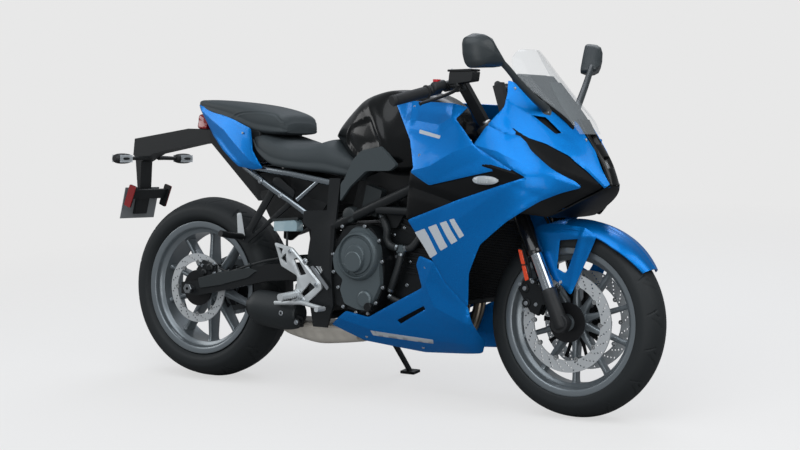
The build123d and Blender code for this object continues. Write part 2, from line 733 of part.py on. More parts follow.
with BuildPart() as indicators:
    for side in (-1, 1):
        low, high = sorted((side * (32 + gap), side * 120))
        add(plate([(-1040, 752), (-1020, 752), (-1020, 766), (-1040, 766)], low, high))
        low, high = sorted((side * 120, side * 205))
        add(plate([(-1052, 738), (-1012, 738), (-1008, 760), (-1020, 776), (-1050, 772)], low, high))
with BuildPart() as tail_lamp:
    add(plate([(-752, 866.8), (-812, 867.9), (-822, 900), (-806, 945), (-794, 948), (-784, 925),
               (-750, 905)], -34, 34))
park(tail_lamp, "tail_lamp")

# ==== fairing ====================================================================
tank_cover_outline = [(100, 968), (174, 975), (352, 969), (414, 957), (375, 920), (422, 882), (470, 841),
                      (662, 746), (546, 762), (312, 710), (234, 749), (245, 762), (207, 850)]
side_cowl_outline = [(470, 841), (500, 903), (560, 880), (618, 872), (654, 829), (722, 775), (783, 735),
                     (795, 718),
                     (751, 701), (696, 674), (595, 607), (508, 534), (466, 442), (455, 336), (373, 409),
                     (334, 472), (233, 598), (424, 668), (662, 746)]
lower_cowl_outline = [(275, 487), (334, 472), (373, 409), (455, 336), (464, 267), (466, 219), (447, 182),
                      (248, 171), (16, 192), (-108, 237), (-40, 287), (52, 273), (284, 386), (261, 457)]
nose_cowl_outline = [(536, 1042), (548, 1040), (636, 978), (738, 915), (800, 830), (852, 722), (842, 714),
                     (800, 768),
                     (750, 815), (685, 850), (618, 872), (560, 880), (500, 903), (545, 960), (546, 998)]
lower_vent = [(173, 273), (186, 262), (294, 318), (286, 328)]
nose_vent = [(627, 934), (660, 928), (686, 884), (676, 884)]
for name, outline, vent in (("tank_covers", tank_cover_outline, None),
                            ("side_cowls", side_cowl_outline, None),
                            ("lower_cowls", lower_cowl_outline, lower_vent),
                            ("nose_cowls", nose_cowl_outline, nose_vent)):
    with BuildPart() as panels:
        add(fairing_skin(outline, 0, panel_wall))
        if vent:
            add(plate(vent, nose_half, 400), mode=Mode.SUBTRACT)
        mirror(about=Plane.XZ)
    park(panels, name)

inner_outline = [(560, 905), (690, 870), (760, 825), (836, 733), (830, 716), (712, 626), (600, 640),
                 (420, 640),
                 (225, 600), (225, 755), (312, 735), (546, 790)]
with BuildPart() as inner_cowls:
    add(fairing_skin(inner_outline, cowl_backing, 3))
    mirror(about=Plane.XZ)
    add(through_x([(700, [(-150, 620), (150, 620), (150, 626), (-150, 626)]),
                   (795, [(-100, 674), (100, 674), (100, 680), (-100, 680)]),
                   (854, [(-30, 716), (30, 716), (30, 732), (-30, 732)])]))
park(inner_cowls, "inner_cowls")

# Foremost x, height, width and height of each lamp's recess.
lamp_recesses = [(770, 858, 34, 34), (821, 791, 38, 38)]
headlight_levels = [(733, 851, 6), (850, 786, 5), (885, 763.5, 0), (926, 739.3, 0)]
with BuildPart() as headlight:
    half = nose_half - gap
    add(through_z([(z, [(x, -half), (x + bulge, -half / 3), (x + bulge, half / 3), (x, half),
                        (x - 60, half),
                        (x - 60, -half)]) for z, x, bulge in headlight_levels]))
    for x, z, across, high in lamp_recesses:
        lamp = Plane(origin=(x, 0, z), x_dir=(0, 1, 0), z_dir=(0.86, 0, 0.51))
        with BuildSketch(lamp.offset(-14)):
            RectangleRounded(across, high, 6)
        extrude(amount=60, mode=Mode.SUBTRACT)
        with BuildSketch(lamp.offset(-14)):
            Circle(across * 0.4)
        extrude(amount=10, taper=20)
park(headlight, "headlight")

screen_wall = 4
# Height, foremost x, then (half width, setback) across the screen.
screen_levels = [(885, 773, [(0, 0), (40, -5), (62, -12)]), (926, 749, [(0, 0), (60, -10), (74, -20)]),
                 (990, 692, [(0, 0), (66, -18), (98, -50)]), (1050, 637, [(0, 0), (66, -22), (114, -76)]),
                 (1114, 579, [(0, 0), (56, -16), (93, -50)]), (1142, 555, [(0, 0), (34, -8), (58, -26)])]
with BuildPart() as windscreen:
    sections = []
    for z, front, half in screen_levels:
        face = [(front + x, y) for y, x in half]
        face = face[::-1] + [(x, -y) for x, y in face[1:]]
        sections.append((z, face + [(x - screen_wall, y) for x, y in reversed(face)]))
    add(through_z(sections))
park(windscreen, "windscreen")

with BuildPart() as instrument_panel:
    add(plate([(478, 832), (478, 780), (600, 800), (735, 832), (717.5, 862), (600, 850)], -28, 28))
    with BuildSketch(level(700)):
        Circle(head_tube_radius + gap)
    extrude(amount=300, mode=Mode.SUBTRACT)
    add(plate([(560, 985), (585, 1000), (545, 1065), (520, 1050)], -85, 85))
    add(plate([(560, 985), (585, 1000), (602, 850.5), (575, 850.5)], -25, 25))
park(instrument_panel, "instrument_panel")

with indicators:
    for side in (-1, 1):
        low, high = sorted((side * 231, side * 250))
        add(plate([(480, 733), (492, 745), (552, 747), (568, 738), (558, 722), (492, 720)], low, high))
        low, high = sorted((side * 227.6, side * 232))
        add(ring((523, 0, 732), low, high, 8))
park(indicators, "indicators")

mirror_face = [(-36, -64), (-64, 10), (-44, 48), (12, 54), (54, 4), (26, -44)]
mirror_stations = [(268, 596, 1098, 0.25), (300, 582, 1120, 0.8), (350, 572, 1134, 1.0),
                   (389, 566, 1140, 0.78)]
mirror_pad = [(618, 980), (654, 940), (672, 936), (668, 956), (640, 984)]
with BuildPart() as mirrors:
    add(fairing_skin(mirror_pad, -6 - gap, 6))
    mirror(about=Plane.XZ)
    for side in (-1, 1):
        add(tube([(650, side * 96, 956), (612, side * 270, 1085), (590, side * 330, 1110)], 9, 40))
        add(through_y([(side * y, [(cx + dx * k, cz + dz * k) for dx, dz in mirror_face])
                       for y, cx, cz, k in mirror_stations]))
    add(fairing_body(-2 * gap), mode=Mode.SUBTRACT)
    add(fairing_body(-2 * gap).mirror(Plane.XZ), mode=Mode.SUBTRACT)
park(mirrors, "mirrors")

# ==== footrests, stand, brake =====================================================
bracket_y = frame_plate_y + frame_plate_wall + gap
bracket_outline = [(-336, 496), (-262, 482), (-140, 372), (-138, 352), (-200, 300), (-247, 303),
                   (-253, 322),
                   (-243, 342), (-238, 390), (-308, 420)]
bracket_windows = [[(-320, 480), (-298, 474), (-303, 454)], [(-308, 447), (-284, 462), (-284, 428)],
                   [(-254, 447), (-240, 450), (-202, 398), (-226, 392)],
                   [(-186, 372), (-164, 357), (-212, 320), (-222, 332)]]
hanger_outline = [(-288, 668), (-300, 622), (-490, 484), (-524, 490), (-520, 585), (-512, 585),
                  (-494, 530), (-392, 680),
                  (-378, 712), (-354, 712)]
hanger_window = [(-308, 640), (-366, 672), (-468, 524), (-464, 516)]
with BuildPart() as footrests:
    for side in (-1, 1):
        low, high = sorted((side * bracket_y, side * (bracket_y + 8)))
        add(plate(bracket_outline, low, high))
        for window in bracket_windows:
            add(plate(window, low - 1, high + 1), mode=Mode.SUBTRACT)
        add(rod((-235, side * (bracket_y + 7), 330), (-245, side * 252, 322), 13))
    for side in (-1, 1):
        low, high = sorted((side * (frame_plate_y + 0.2), side * (frame_plate_y + 8)))
        add(plate(hanger_outline, low, high))
        add(plate(hanger_window, low - 1, high + 1), mode=Mode.SUBTRACT)
        add(rod((-505, side * (frame_plate_y + 7), 505), (-512, side * 240, 520), 11))
park(footrests, "footrests")

with BuildPart() as foot_pedals:
    for side in (-1, 1):
        add(tube([(-318, side * 184, 296), (-210, side * 184, 304), (-115, side * 186, 290)], 7, 40))
        add(rod((-117, side * 182, 290), (-114, side * 228, 290), 8))
        low, high = sorted((side * (bracket_y + 8 + gap), side * 184))
        add(ring((-243, 0, 303), low, high, 9))
park(foot_pedals, "foot_pedals")

with BuildPart() as rear_caliper:
    add(plate(from_axle(rear_axle, [(32.5, 100), (92.5, 85), (92.5, 35), (32.5, 37), (2.5, 65)]), -106,
              -76))
    add(ring(rear_axle, -98, -82, rear_disc_outer + 4), mode=Mode.SUBTRACT)
    add(plate(from_axle(rear_axle, [(32.5, 85), (92.5, 77), (82.5, 15), (32.5, 15)]), -108.7, -100))
park(rear_caliper, "rear_caliper")

stand_pivot = (-148, 180, 240)
stand_axis = (0, cos(radians(25)), sin(radians(25)))
stand_drop = 89.5
stand_foot = (-75, stand_pivot[1] + stand_drop, stand_pivot[2] - stand_drop / tan(radians(25)))
foot_above = (stand_foot[2] - stand_foot[1] * tan(radians(park_lean))) * cos(radians(park_lean))
with BuildPart() as side_stand:
    with BuildSketch(Plane(origin=stand_pivot, z_dir=stand_axis).offset(-11)):
        Circle(17)
    extrude(amount=22)
    leg = Vector(*stand_foot) - Vector(*stand_pivot)
    with BuildSketch(Plane(origin=Vector(*stand_pivot) + leg * 0.05, z_dir=leg)):
        Circle(11)
    with BuildSketch(Plane(origin=stand_foot, z_dir=leg)):
        Circle(9)
    loft(ruled=True)
    with BuildSketch(Plane(origin=stand_foot, x_dir=(1, 0, 0),
                           z_dir=(0, sin(radians(park_lean)), -cos(radians(park_lean)))).offset(-4)):
        Rectangle(56, 40)
    extrude(amount=foot_above + 4)
park(side_stand, "side_stand")
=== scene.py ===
import json
from math import acos, atan2, ceil, cos, hypot, pi, radians, sin, tan

import bmesh
import bpy
import numpy as np
from mathutils import Matrix, Vector
from mathutils.geometry import delaunay_2d_cdt

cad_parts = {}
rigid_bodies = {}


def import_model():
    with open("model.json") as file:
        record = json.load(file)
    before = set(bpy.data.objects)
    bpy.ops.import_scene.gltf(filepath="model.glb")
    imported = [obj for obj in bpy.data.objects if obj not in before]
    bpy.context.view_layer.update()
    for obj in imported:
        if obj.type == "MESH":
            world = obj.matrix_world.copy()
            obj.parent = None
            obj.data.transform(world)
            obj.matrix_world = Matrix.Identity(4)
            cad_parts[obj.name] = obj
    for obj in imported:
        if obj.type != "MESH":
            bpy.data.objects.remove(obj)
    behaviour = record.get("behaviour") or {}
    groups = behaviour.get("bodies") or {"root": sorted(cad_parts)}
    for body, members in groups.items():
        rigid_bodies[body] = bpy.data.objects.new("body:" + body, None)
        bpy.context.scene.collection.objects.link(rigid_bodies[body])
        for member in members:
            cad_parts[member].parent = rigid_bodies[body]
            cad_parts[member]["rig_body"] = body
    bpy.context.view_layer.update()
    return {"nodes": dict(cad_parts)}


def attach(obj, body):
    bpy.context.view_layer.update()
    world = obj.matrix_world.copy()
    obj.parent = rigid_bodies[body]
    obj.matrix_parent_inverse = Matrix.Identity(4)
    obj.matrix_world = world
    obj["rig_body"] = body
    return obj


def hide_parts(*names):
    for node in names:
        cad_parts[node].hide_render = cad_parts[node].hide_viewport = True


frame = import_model()

# ---- standing place ----
# Sport motorcycle leaning on its side stand. Sizes below are millimetres on the upright
# machine: x forward from the middle of the wheelbase, y to the rider's left, z up.
wheelbase = 1465
front_axle = (wheelbase / 2, 300)
rear_axle = (-wheelbase / 2, 315)
rake = radians(25)
lean = radians(9)
stand_shift = (36.75, -176.45)


def parked(points):
    """Row-frame metres of upright points: a turn by the lean about the length, then a shift."""
    p = np.asarray(points, float).reshape(-1, 3)
    across = p[:, 1] * cos(lean) + p[:, 2] * sin(lean) + stand_shift[1]
    up = -p[:, 1] * sin(lean) + p[:, 2] * cos(lean)
    return np.stack([p[:, 0] + stand_shift[0], across, up], axis=1) / 1000


def axis_x(z):
    """Where the steering axis is at a height."""
    return 836.5 - tan(rake) * z


# ---- studio ----
# Seamless pale sweep: a matt painted floor that fades into an even backdrop, under five
# large soft lamps, at a level where colours come out about as written.
def linear(code):
    """Linear RGBA of an sRGB hex colour: each channel undoes the sRGB curve."""
    s = np.array([int(code[i:i + 2], 16) for i in (1, 3, 5)]) / 255
    rgb = np.where(s <= 0.04045, s / 12.92, ((s + 0.055) / 1.055) ** 2.4)
    return (*rgb, 1.0)


def add_node(tree, kind, links=(), **settings):
    """One node with its settings, fed by links: (own input, source node, source output)."""
    made = tree.nodes.new(kind)
    for name, value in settings.items():
        if hasattr(made, name):
            setattr(made, name, value)
        else:
            made.inputs[name.replace("_", " ")].default_value = value
    for own, source, output in links:
        tree.links.new(source.outputs[output], made.inputs[own])
    return made


backdrop = "#e8e8e8"
floor_glow = 0.68
world = bpy.data.worlds.new("studio")
bpy.context.scene.world = world
world.use_nodes = True
world.node_tree.nodes.clear()
paths = add_node(world.node_tree, "ShaderNodeLightPath")
seen = add_node(world.node_tree, "ShaderNodeMath",
                [(0, paths, "Is Camera Ray"), (1, paths, "Is Transmission Ray")], operation="MAXIMUM")
plain = add_node(world.node_tree, "ShaderNodeBackground", Color=linear(backdrop), Strength=1.0)
dim = add_node(world.node_tree, "ShaderNodeBackground", Color=linear("#f2f6fb"), Strength=0.3)
sky = add_node(world.node_tree, "ShaderNodeMixShader", [(0, seen, 0), (1, dim, 0), (2, plain, 0)])
add_node(world.node_tree, "ShaderNodeOutputWorld", [(0, sky, 0)])

floor_material = bpy.data.materials.new("painted_floor")
floor_material.use_nodes = True
tree = floor_material.node_tree
tree.nodes.clear()
coordinates = add_node(tree, "ShaderNodeTexCoord")
reach = add_node(tree, "ShaderNodeVectorMath", [(0, coordinates, "Object")], operation="LENGTH")
fade = add_node(tree, "ShaderNodeMapRange", [(0, reach, "Value")], From_Min=1.6, From_Max=3.4)
rays = add_node(tree, "ShaderNodeLightPath")
tone = add_node(tree, "ShaderNodeMix", [(0, rays, "Is Camera Ray")], data_type="RGBA")
tone.inputs["A"].default_value = linear("#8c8c8c")
tone.inputs["B"].default_value = linear("#e2e2e2")
matt = add_node(tree, "ShaderNodeBsdfDiffuse", [("Color", tone, "Result")])
gone = add_node(tree, "ShaderNodeBsdfTransparent")
even = add_node(tree, "ShaderNodeEmission", Color=linear("#f1f1f1"), Strength=1.0)
share = add_node(tree, "ShaderNodeMath", [(0, rays, "Is Camera Ray")], operation="MULTIPLY")
share.inputs[1].default_value = floor_glow
lifted = add_node(tree, "ShaderNodeMixShader", [(0, share, 0), (1, matt, 0), (2, even, 0)])
both = add_node(tree, "ShaderNodeMixShader", [(0, fade, 0), (1, lifted, 0), (2, gone, 0)])
add_node(tree, "ShaderNodeOutputMaterial", [(0, both, 0)])
bpy.ops.mesh.primitive_plane_add(size=9)
floor = bpy.context.object
floor.name = "floor"
floor.data.materials.append(floor_material)

lamp_aim = Vector((0.1, 0, 0.55))
lamps = [("over_right", (0.6, -1.9, 3.6), 3.6, 82, "#f7fbff"),
         ("over_left", (-0.3, 2.0, 3.2), 2.4, 48, "#f3f7ff"),
         ("over_front", (3.4, -0.4, 2.4), 2.0, 32, "#ffffff"),
         ("tail_side", (-3.2, -1.2, 2.0), 1.8, 24, "#ffffff"),
         ("low_fill", (2.4, -3.8, 0.9), 2.4, 34, "#ffffff")]
for name, spot, size, watts, colour in lamps:
    light = bpy.data.lights.new(name, "AREA")
    light.size, light.energy, light.color = size, watts, linear(colour)[:3]
    lamp = bpy.data.objects.new(name, light)
    lamp.location = spot
    lamp.rotation_mode = "QUATERNION"
    lamp.rotation_quaternion = (lamp_aim - Vector(spot)).to_track_quat("-Z", "Y")
    bpy.context.scene.collection.objects.link(lamp)
bpy.context.scene.view_settings.view_transform = "Standard"

# ---- camera ----
# Long lens from the front right, level with the tank. Its place and turn are given on
# the upright machine, so it leans with the parked one.
image_width = 800
focal_pixels = 1992.95
camera_place = (3770.9, -5406.8, 890.5)
camera_axes = [(0.8232, 0.5673, 0.0222), (-0.0462, 0.0279, 0.9985), (0.5658, -0.8231, 0.0492)]
camera_data = bpy.data.cameras.new("camera")
camera_data.sensor_width = 36
camera_data.lens = 36 * focal_pixels / image_width
camera_data.clip_end = 50
camera = bpy.data.objects.new("camera", camera_data)
turned = Matrix([parked([axis])[0] - parked([(0, 0, 0)])[0] for axis in np.array(camera_axes)]).transposed()
camera.matrix_world = Matrix.Translation(parked([camera_place])[0]) @ (turned * 1000).to_4x4()
bpy.context.scene.collection.objects.link(camera)
bpy.context.scene.camera = camera


# ---- tyres ----
# Tubeless radial tyres of black rubber, moulded with slanted rain grooves; the beads sit
# inside the rim flanges.
def closed_grid(rows, columns, wrap_rows=True, wrap_columns=True):
    """Quads over a grid of points numbered row by row; wrapping joins the last to the first."""
    i = np.arange(rows if wrap_rows else rows - 1)[:, None]
    j = np.arange(columns if wrap_columns else columns - 1)[None, :]
    a, b = i * columns + j, i * columns + (j + 1) % columns
    c, d = ((i + 1) % rows) * columns + (j + 1) % columns, ((i + 1) % rows) * columns + j
    return np.stack([a, b, c, d], axis=-1).reshape(-1, 4).tolist()


def material(name, colour, metallic=0.0, roughness=0.5, **more):
    """Plain principled material; more sets further sockets of the shader."""
    made = bpy.data.materials.new(name)
    made.use_nodes = True
    made.node_tree.nodes.clear()
    shader = add_node(made.node_tree, "ShaderNodeBsdfPrincipled", Base_Color=linear(colour),
                      Metallic=metallic, Roughness=roughness, **more)
    add_node(made.node_tree, "ShaderNodeOutputMaterial", [(0, shader, 0)])
    return made


def grain(made, size_mm, height_mm, detail=2.0):
    """Bump of noise on object coordinates, with its grain size and height in millimetres."""
    tree = made.node_tree
    shader = next(n for n in tree.nodes if n.type == "BSDF_PRINCIPLED")
    place = add_node(tree, "ShaderNodeTexCoord")
    noise = add_node(tree, "ShaderNodeTexNoise", [("Vector", place, "Object")],
                     Scale=1000 / size_mm, Detail=detail)
    bump = add_node(tree, "ShaderNodeBump", [("Height", noise, 0)], Strength=1.0, Distance=height_mm / 1000)
    tree.links.new(bump.outputs[0], shader.inputs["Normal"])
    return made


def finished(name, mesh, body, stands_for, bevel, sharp):
    """Object of a mesh, shaded smooth up to a sharp angle in degrees and, with a bevel in
    millimetres, its edges eased; it rides a body and stands for its CAD nodes."""
    mesh.shade_smooth()
    mesh.set_sharp_from_angle(angle=radians(sharp))
    made = bpy.data.objects.new(name, mesh)
    bpy.context.scene.collection.objects.link(made)
    if bevel:
        eased = made.modifiers.new("eased", "BEVEL")
        eased.width, eased.segments, eased.limit_method = bevel / 1000, 2, "ANGLE"
        eased.angle_limit, eased.harden_normals = radians(sharp), True
    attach(made, body)
    if stands_for:
        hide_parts(*stands_for)
    return made


def piece(name, parts, body, stands_for=(), bevel=0.0, sharp=35):
    """Finished piece from parts (upright points, faces, material): joined and parked, with
    every face turned outwards."""
    mesh = bpy.data.meshes.new(name)
    points, faces, finishes, used, start = [], [], [], [], 0
    for part_points, part_faces, finish in parts:
        if finish not in used:
            used.append(finish)
        points.append(np.asarray(part_points, float).reshape(-1, 3))
        faces += [[k + start for k in face] for face in part_faces]
        finishes += [used.index(finish)] * len(part_faces)
        start += len(points[-1])
    mesh.from_pydata(parked(np.concatenate(points)).tolist(), [], faces)
    for finish in used:
        mesh.materials.append(finish)
    mesh.polygons.foreach_set("material_index", finishes)
    shell = bmesh.new()
    shell.from_mesh(mesh)
    bmesh.ops.recalc_face_normals(shell, faces=shell.faces)
    shell.to_mesh(mesh)
    shell.free()
    return finished(name, mesh, body, stands_for, bevel, sharp)


def through(values, samples):
    """Smooth curve through values: cubic with each slope taken from its two neighbours."""
    values = np.asarray(values, float)
    t = np.linspace(0, len(values) - 1, samples)
    k = np.minimum(t.astype(int), len(values) - 2)
    u = (t - k).reshape(-1, *[1] * (values.ndim - 1))
    slope = np.gradient(values, axis=0)
    start = (2 * u**3 - 3 * u**2 + 1) * values[k] + (u**3 - 2 * u**2 + u) * slope[k]
    return start + (3 * u**2 - 2 * u**3) * values[k + 1] + (u**3 - u**2) * slope[k + 1]


# Vulcanised rubber: dark and matt, with a faint sheen at a low angle.
rubber = grain(material("moulded_rubber", "#202426", roughness=0.62, Specular_IOR_Level=0.35), 1.2, 0.06)
bead_radius = 216


def tread(angle, across, half, count):
    """Groove depth in millimetres: slanted cuts that start off the middle and curve back
    towards the shoulder, alternately long and short, the same on both halves."""
    side = np.abs(across) / half
    depth = np.zeros(np.broadcast_shapes(np.shape(angle), np.shape(across)))
    for shift, low, high, slant in ((0.0, 0.12, 0.78, 0.34), (0.5, 0.42, 0.92, -0.2),
                                    (0.28, 0.30, 0.56, 0.3)):
        turn = angle * count / (2 * pi) - shift - slant * (side - low) * 1.3 - 0.25 * (across > 0)
        off = np.abs(turn - np.round(turn)) * 2 * pi / count * 300
        ends = np.clip(np.minimum(side - low, high - side) / 0.05, 0, 1)
        depth += ends * np.clip(1.6 - off / 1.5, 0, 1)
    return 3.2 * np.clip(depth, 0, 1)


for end, (x, z), radius, half, rim_half, body, count in (
        ("front", front_axle, 300, 60, 51, "front_wheel", 16),
        ("rear", rear_axle, 315, 90, 77, "rear_wheel", 14)):
    outer = through([(-rim_half + 9, bead_radius + 7), (-rim_half + 7.5, 232), (-half + 3, radius - 68),
                     (-half, radius - 50), (-half * 0.95, radius - 34), (-half * 0.74, radius - 17),
                     (-half * 0.4, radius - 3.2 - half * 0.036), (0, radius)], 48)
    inner = through([(0, radius - 9), (-half * 0.6, radius - 24), (-half + 8, radius - 52),
                     (-rim_half + 16, bead_radius + 7)], 14)
    section = np.concatenate([outer, (outer[::-1] * (-1, 1))[1:], (inner[::-1] * (-1, 1)), inner[1:]])
    steps = 720
    angle = np.linspace(0, 2 * pi, steps, endpoint=False)[:, None]
    across, r = section[:, 0][None, :], section[:, 1][None, :] + 0 * angle
    shown = (np.arange(len(section)) < 2 * len(outer) - 1)[None, :] & (section[:, 1][None, :] > radius - 60)
    r = r - np.where(shown, tread(angle, across + 0 * angle, half, count), 0)
    points = np.stack([x + r * np.cos(angle), across + 0 * r, z + r * np.sin(angle)], axis=-1)
    piece(end + "_tyre_rubber", [(points, closed_grid(steps, len(section)), rubber)], body,
          [end + "_tyre"], sharp=50)

# ---- wheels ----
# One-piece cast aluminium wheels, painted silver grey: ten straight spokes run from the
# hub to a dropped-centre rim, and a turned lip shows outside the tyre bead.
def turned_ring(profile, x, z, steps=160):
    """Closed profile of (y, radius) carried round a wheel axis."""
    profile = np.asarray(profile, float)
    angle = np.linspace(0, 2 * pi, steps, endpoint=False)[:, None]
    y, r = profile[:, 0][None, :] + 0 * angle, profile[:, 1][None, :]
    points = np.stack([x + r * np.cos(angle), y, z + r * np.sin(angle)], axis=-1)
    return points, closed_grid(steps, len(profile))


def spoke(angle, x, z, stations, sides=20):
    """Bar standing out from a hub at an angle: rounded sections (radius, half depth, half width)."""
    table = np.array([through(column, 22) for column in np.array(stations, float).T]).T
    turn = np.linspace(0, 2 * pi, sides, endpoint=False)[None, :]
    r, deep, wide = (table[:, k][:, None] for k in range(3))
    y = deep * (np.sign(np.cos(turn)) * np.abs(np.cos(turn)) ** 0.6)
    t = wide * (np.sign(np.sin(turn)) * np.abs(np.sin(turn)) ** 0.6)
    points = np.stack([x + (r + 0 * t) * cos(angle) - t * sin(angle), y,
                       z + (r + 0 * t) * sin(angle) + t * cos(angle)], axis=-1)
    return points, closed_grid(len(table), sides, wrap_rows=False)


# Baked wheel paint: fine silver grey, lightly metallic, under a thin clear coat.
wheel_paint = material("silver_grey_paint", "#7d858a", metallic=0.55, roughness=0.32, Coat_Weight=0.5,
                       Coat_Roughness=0.12)
for end, (x, z), half, hub_left, hub_right, body in (("front", front_axle, 51, 61, -61, "front_wheel"),
                                                     ("rear", rear_axle, 77, 92, -85, "rear_wheel")):
    face = [(-half, 231), (-half - 0.5, 226), (-half + 1, 214), (-half + 6, 209), (-half + 20, 206),
            (-half + 30, 192)]
    seat = [(-half + 30, 196), (-half + 24, 220), (-half + 8, 221), (-half + 6, 227), (-half + 4, 231)]
    outer = through(face, 26)
    rim = np.concatenate([outer, (outer * (-1, 1))[::-1], (np.array(seat[::-1]) * (-1, 1)), np.array(seat)])
    parts = [(*turned_ring(rim, x, z), wheel_paint)]
    hub = through([(hub_right, 24), (hub_right, 38), (hub_right * 0.6, 40), (0, 44), (hub_left * 0.6, 40),
                   (hub_left, 38), (hub_left, 24)], 40)
    parts.append((*turned_ring(np.concatenate([hub, [(hub_left, 14), (hub_right, 14)]]), x, z, 64),
                  wheel_paint))
    for number in range(10):
        stations = [(36, half * 0.42, 17), (52, half * 0.42, 12.5), (90, half * 0.38, 10),
                    (140, half * 0.33, 8.5), (176, half * 0.31, 8.2), (192, half * 0.36, 10.5),
                    (199, half * 0.46, 15)]
        parts.append((*spoke(radians(18 + 36 * number), x, z, stations), wheel_paint))
    piece(end + "_wheel_casting", parts, body, [end + "_rim"], sharp=40)


# ---- brake discs ----
# Ground stainless discs drilled in slanted rows, floating on black carriers that are
# bolted to the hub; plated buttons join ring and carrier.
def circle(cx, cz, r, count):
    """Points evenly round a circle in the (x, z) plane."""
    return [(cx + r * cos(2 * pi * k / count), cz + r * sin(2 * pi * k / count)) for k in range(count)]


def drilled_disc(x, z, y_mid, outer, inner, holes, wall=5.0):
    """Flat ring with round holes: a triangulated outline whose holes are small circles,
    thickened both ways from its middle plane."""
    loops = [circle(0, 0, outer, 120), circle(0, 0, inner, 90)] + [circle(*hole, 10) for hole in holes]
    flat, edges, start = [], [], 0
    for loop in loops:
        flat += loop
        edges += [(start + k, start + (k + 1) % len(loop)) for k in range(len(loop))]
        start += len(loop)
    made = delaunay_2d_cdt([Vector(p) for p in flat], edges, [], 0, 1e-5)
    spots, triangles = np.array([tuple(v) for v in made[0]]), np.array([f for f in made[2] if len(f) == 3])
    middle = spots[triangles].mean(axis=1)
    reach = np.hypot(*middle.T)
    keep = (reach < outer) & (reach > inner)
    for cx, cz, r in holes:
        keep &= np.hypot(middle[:, 0] - cx, middle[:, 1] - cz) > r
    triangles = triangles[keep]
    count = len(spots)
    ends = [np.stack([x + spots[:, 0], np.full(count, y_mid + side * wall / 2), z + spots[:, 1]], axis=1)
            for side in (-1, 1)]
    pairs = np.concatenate([triangles[:, [k, (k + 1) % 3]] for k in range(3)])
    seen_pairs = {tuple(p) for p in pairs.tolist()}
    rim_edges = [p for p in pairs.tolist() if (p[1], p[0]) not in seen_pairs]
    walls = [[a, b, b + count, a + count] for a, b in rim_edges]
    faces = triangles[:, ::-1].tolist() + (triangles + count).tolist() + walls
    return np.concatenate(ends), faces


# Ground steel is pale with a soft glow, black anodising is dark and satin, zinc is bright.
disc_steel = material("ground_stainless_steel", "#d2d6d8", metallic=0.6, roughness=0.38)
carrier_black = material("black_anodised_aluminium", "#17181a", metallic=0.4, roughness=0.4)
plated = material("zinc_plated_steel", "#c4c6c6", metallic=1.0, roughness=0.25)
for end, (x, z), sides, outer, inner, rows, body, node in (
        ("front", front_axle, (-65.8, 65.8), 155, 118, 24, "front_wheel", "front_discs"),
        ("rear", rear_axle, (-89.8,), 120, 92, 18, "rear_wheel", "rear_disc")):
    parts = []
    for y in sides:
        holes = []
        for row in range(rows):
            for step, r in enumerate(np.linspace(inner + 7, outer - 7, 4 if end == "front" else 3)):
                at = 2 * pi * (row + 0.24 * step) / rows
                holes.append((r * cos(at), r * sin(at), 3.0))
        parts.append((*drilled_disc(x, z, y, outer, inner, holes), disc_steel))
        parts.append((*turned_ring([(y - 3, 27), (y - 3, 62), (y + 3, 62), (y + 3, 27)], x, z, 60),
                      carrier_black))
        for arm in range(10 if end == "front" else 8):
            at = 2 * pi * arm / (10 if end == "front" else 8)
            reach = [(52, 2.6, 11), (72, 2.4, 7), (inner - 12, 2.4, 5.5), (inner + 2, 2.6, 9)]
            parts.append((*spoke(at, x, z, reach, 12), carrier_black))
            cx, cz = x + (inner - 1) * cos(at), z + (inner - 1) * sin(at)
            parts.append((*turned_ring([(y - 4, 3), (y - 4, 7.5), (y + 4, 7.5), (y + 4, 3)], cx, cz, 16),
                          plated))
    piece(node + "_drilled", parts, body, [node], sharp=30)


# ---- axles and sprocket ----
# Hollow steel axles with hexagon heads, turned and plated, and a toothed rear sprocket of
# hardened steel, bolted to a black carrier.
def round_bar(x, z, y_low, y_high, radius, hole=0.0, steps=40, ease=1.0):
    """Turned bar across the machine with eased edges, hollow where a hole radius is given."""
    y_low, y_high = sorted((y_low, y_high))
    skin = [(y_low, radius - ease), (y_low + ease, radius), (y_high - ease, radius), (y_high, radius - ease)]
    return turned_ring([(y_low, hole + 0.01)] + skin + [(y_high, hole + 0.01)], x, z, steps)


def capped_grid(rows, columns, across=False):
    """Quads of a tube with a face over each end; its rings are the rows or, across, the columns."""
    numbers = np.arange(rows * columns).reshape(rows, columns)
    ends = [numbers[::-1, 0], numbers[:, -1]] if across else [numbers[0], numbers[-1, ::-1]]
    return closed_grid(rows, columns, across, not across) + [end.tolist() for end in ends]


def plate(low, y_low, high, y_high):
    """Closed plate between an outline in x and z at one width and its like at another."""
    count = len(low)
    ring = np.arange(count)
    walls = np.stack([ring, np.roll(ring, -1), np.roll(ring, -1) + count, ring + count], axis=1).tolist()
    ends = [np.insert(np.asarray(low, float), 1, y_low, axis=1),
            np.insert(np.asarray(high, float), 1, y_high, axis=1)]
    return np.concatenate(ends), [ring[::-1].tolist(), (ring + count).tolist()] + walls


def slab(outline, y_low, y_high):
    """Plate with the same outline at both its widths."""
    return plate(outline, min(y_low, y_high), outline, max(y_low, y_high))


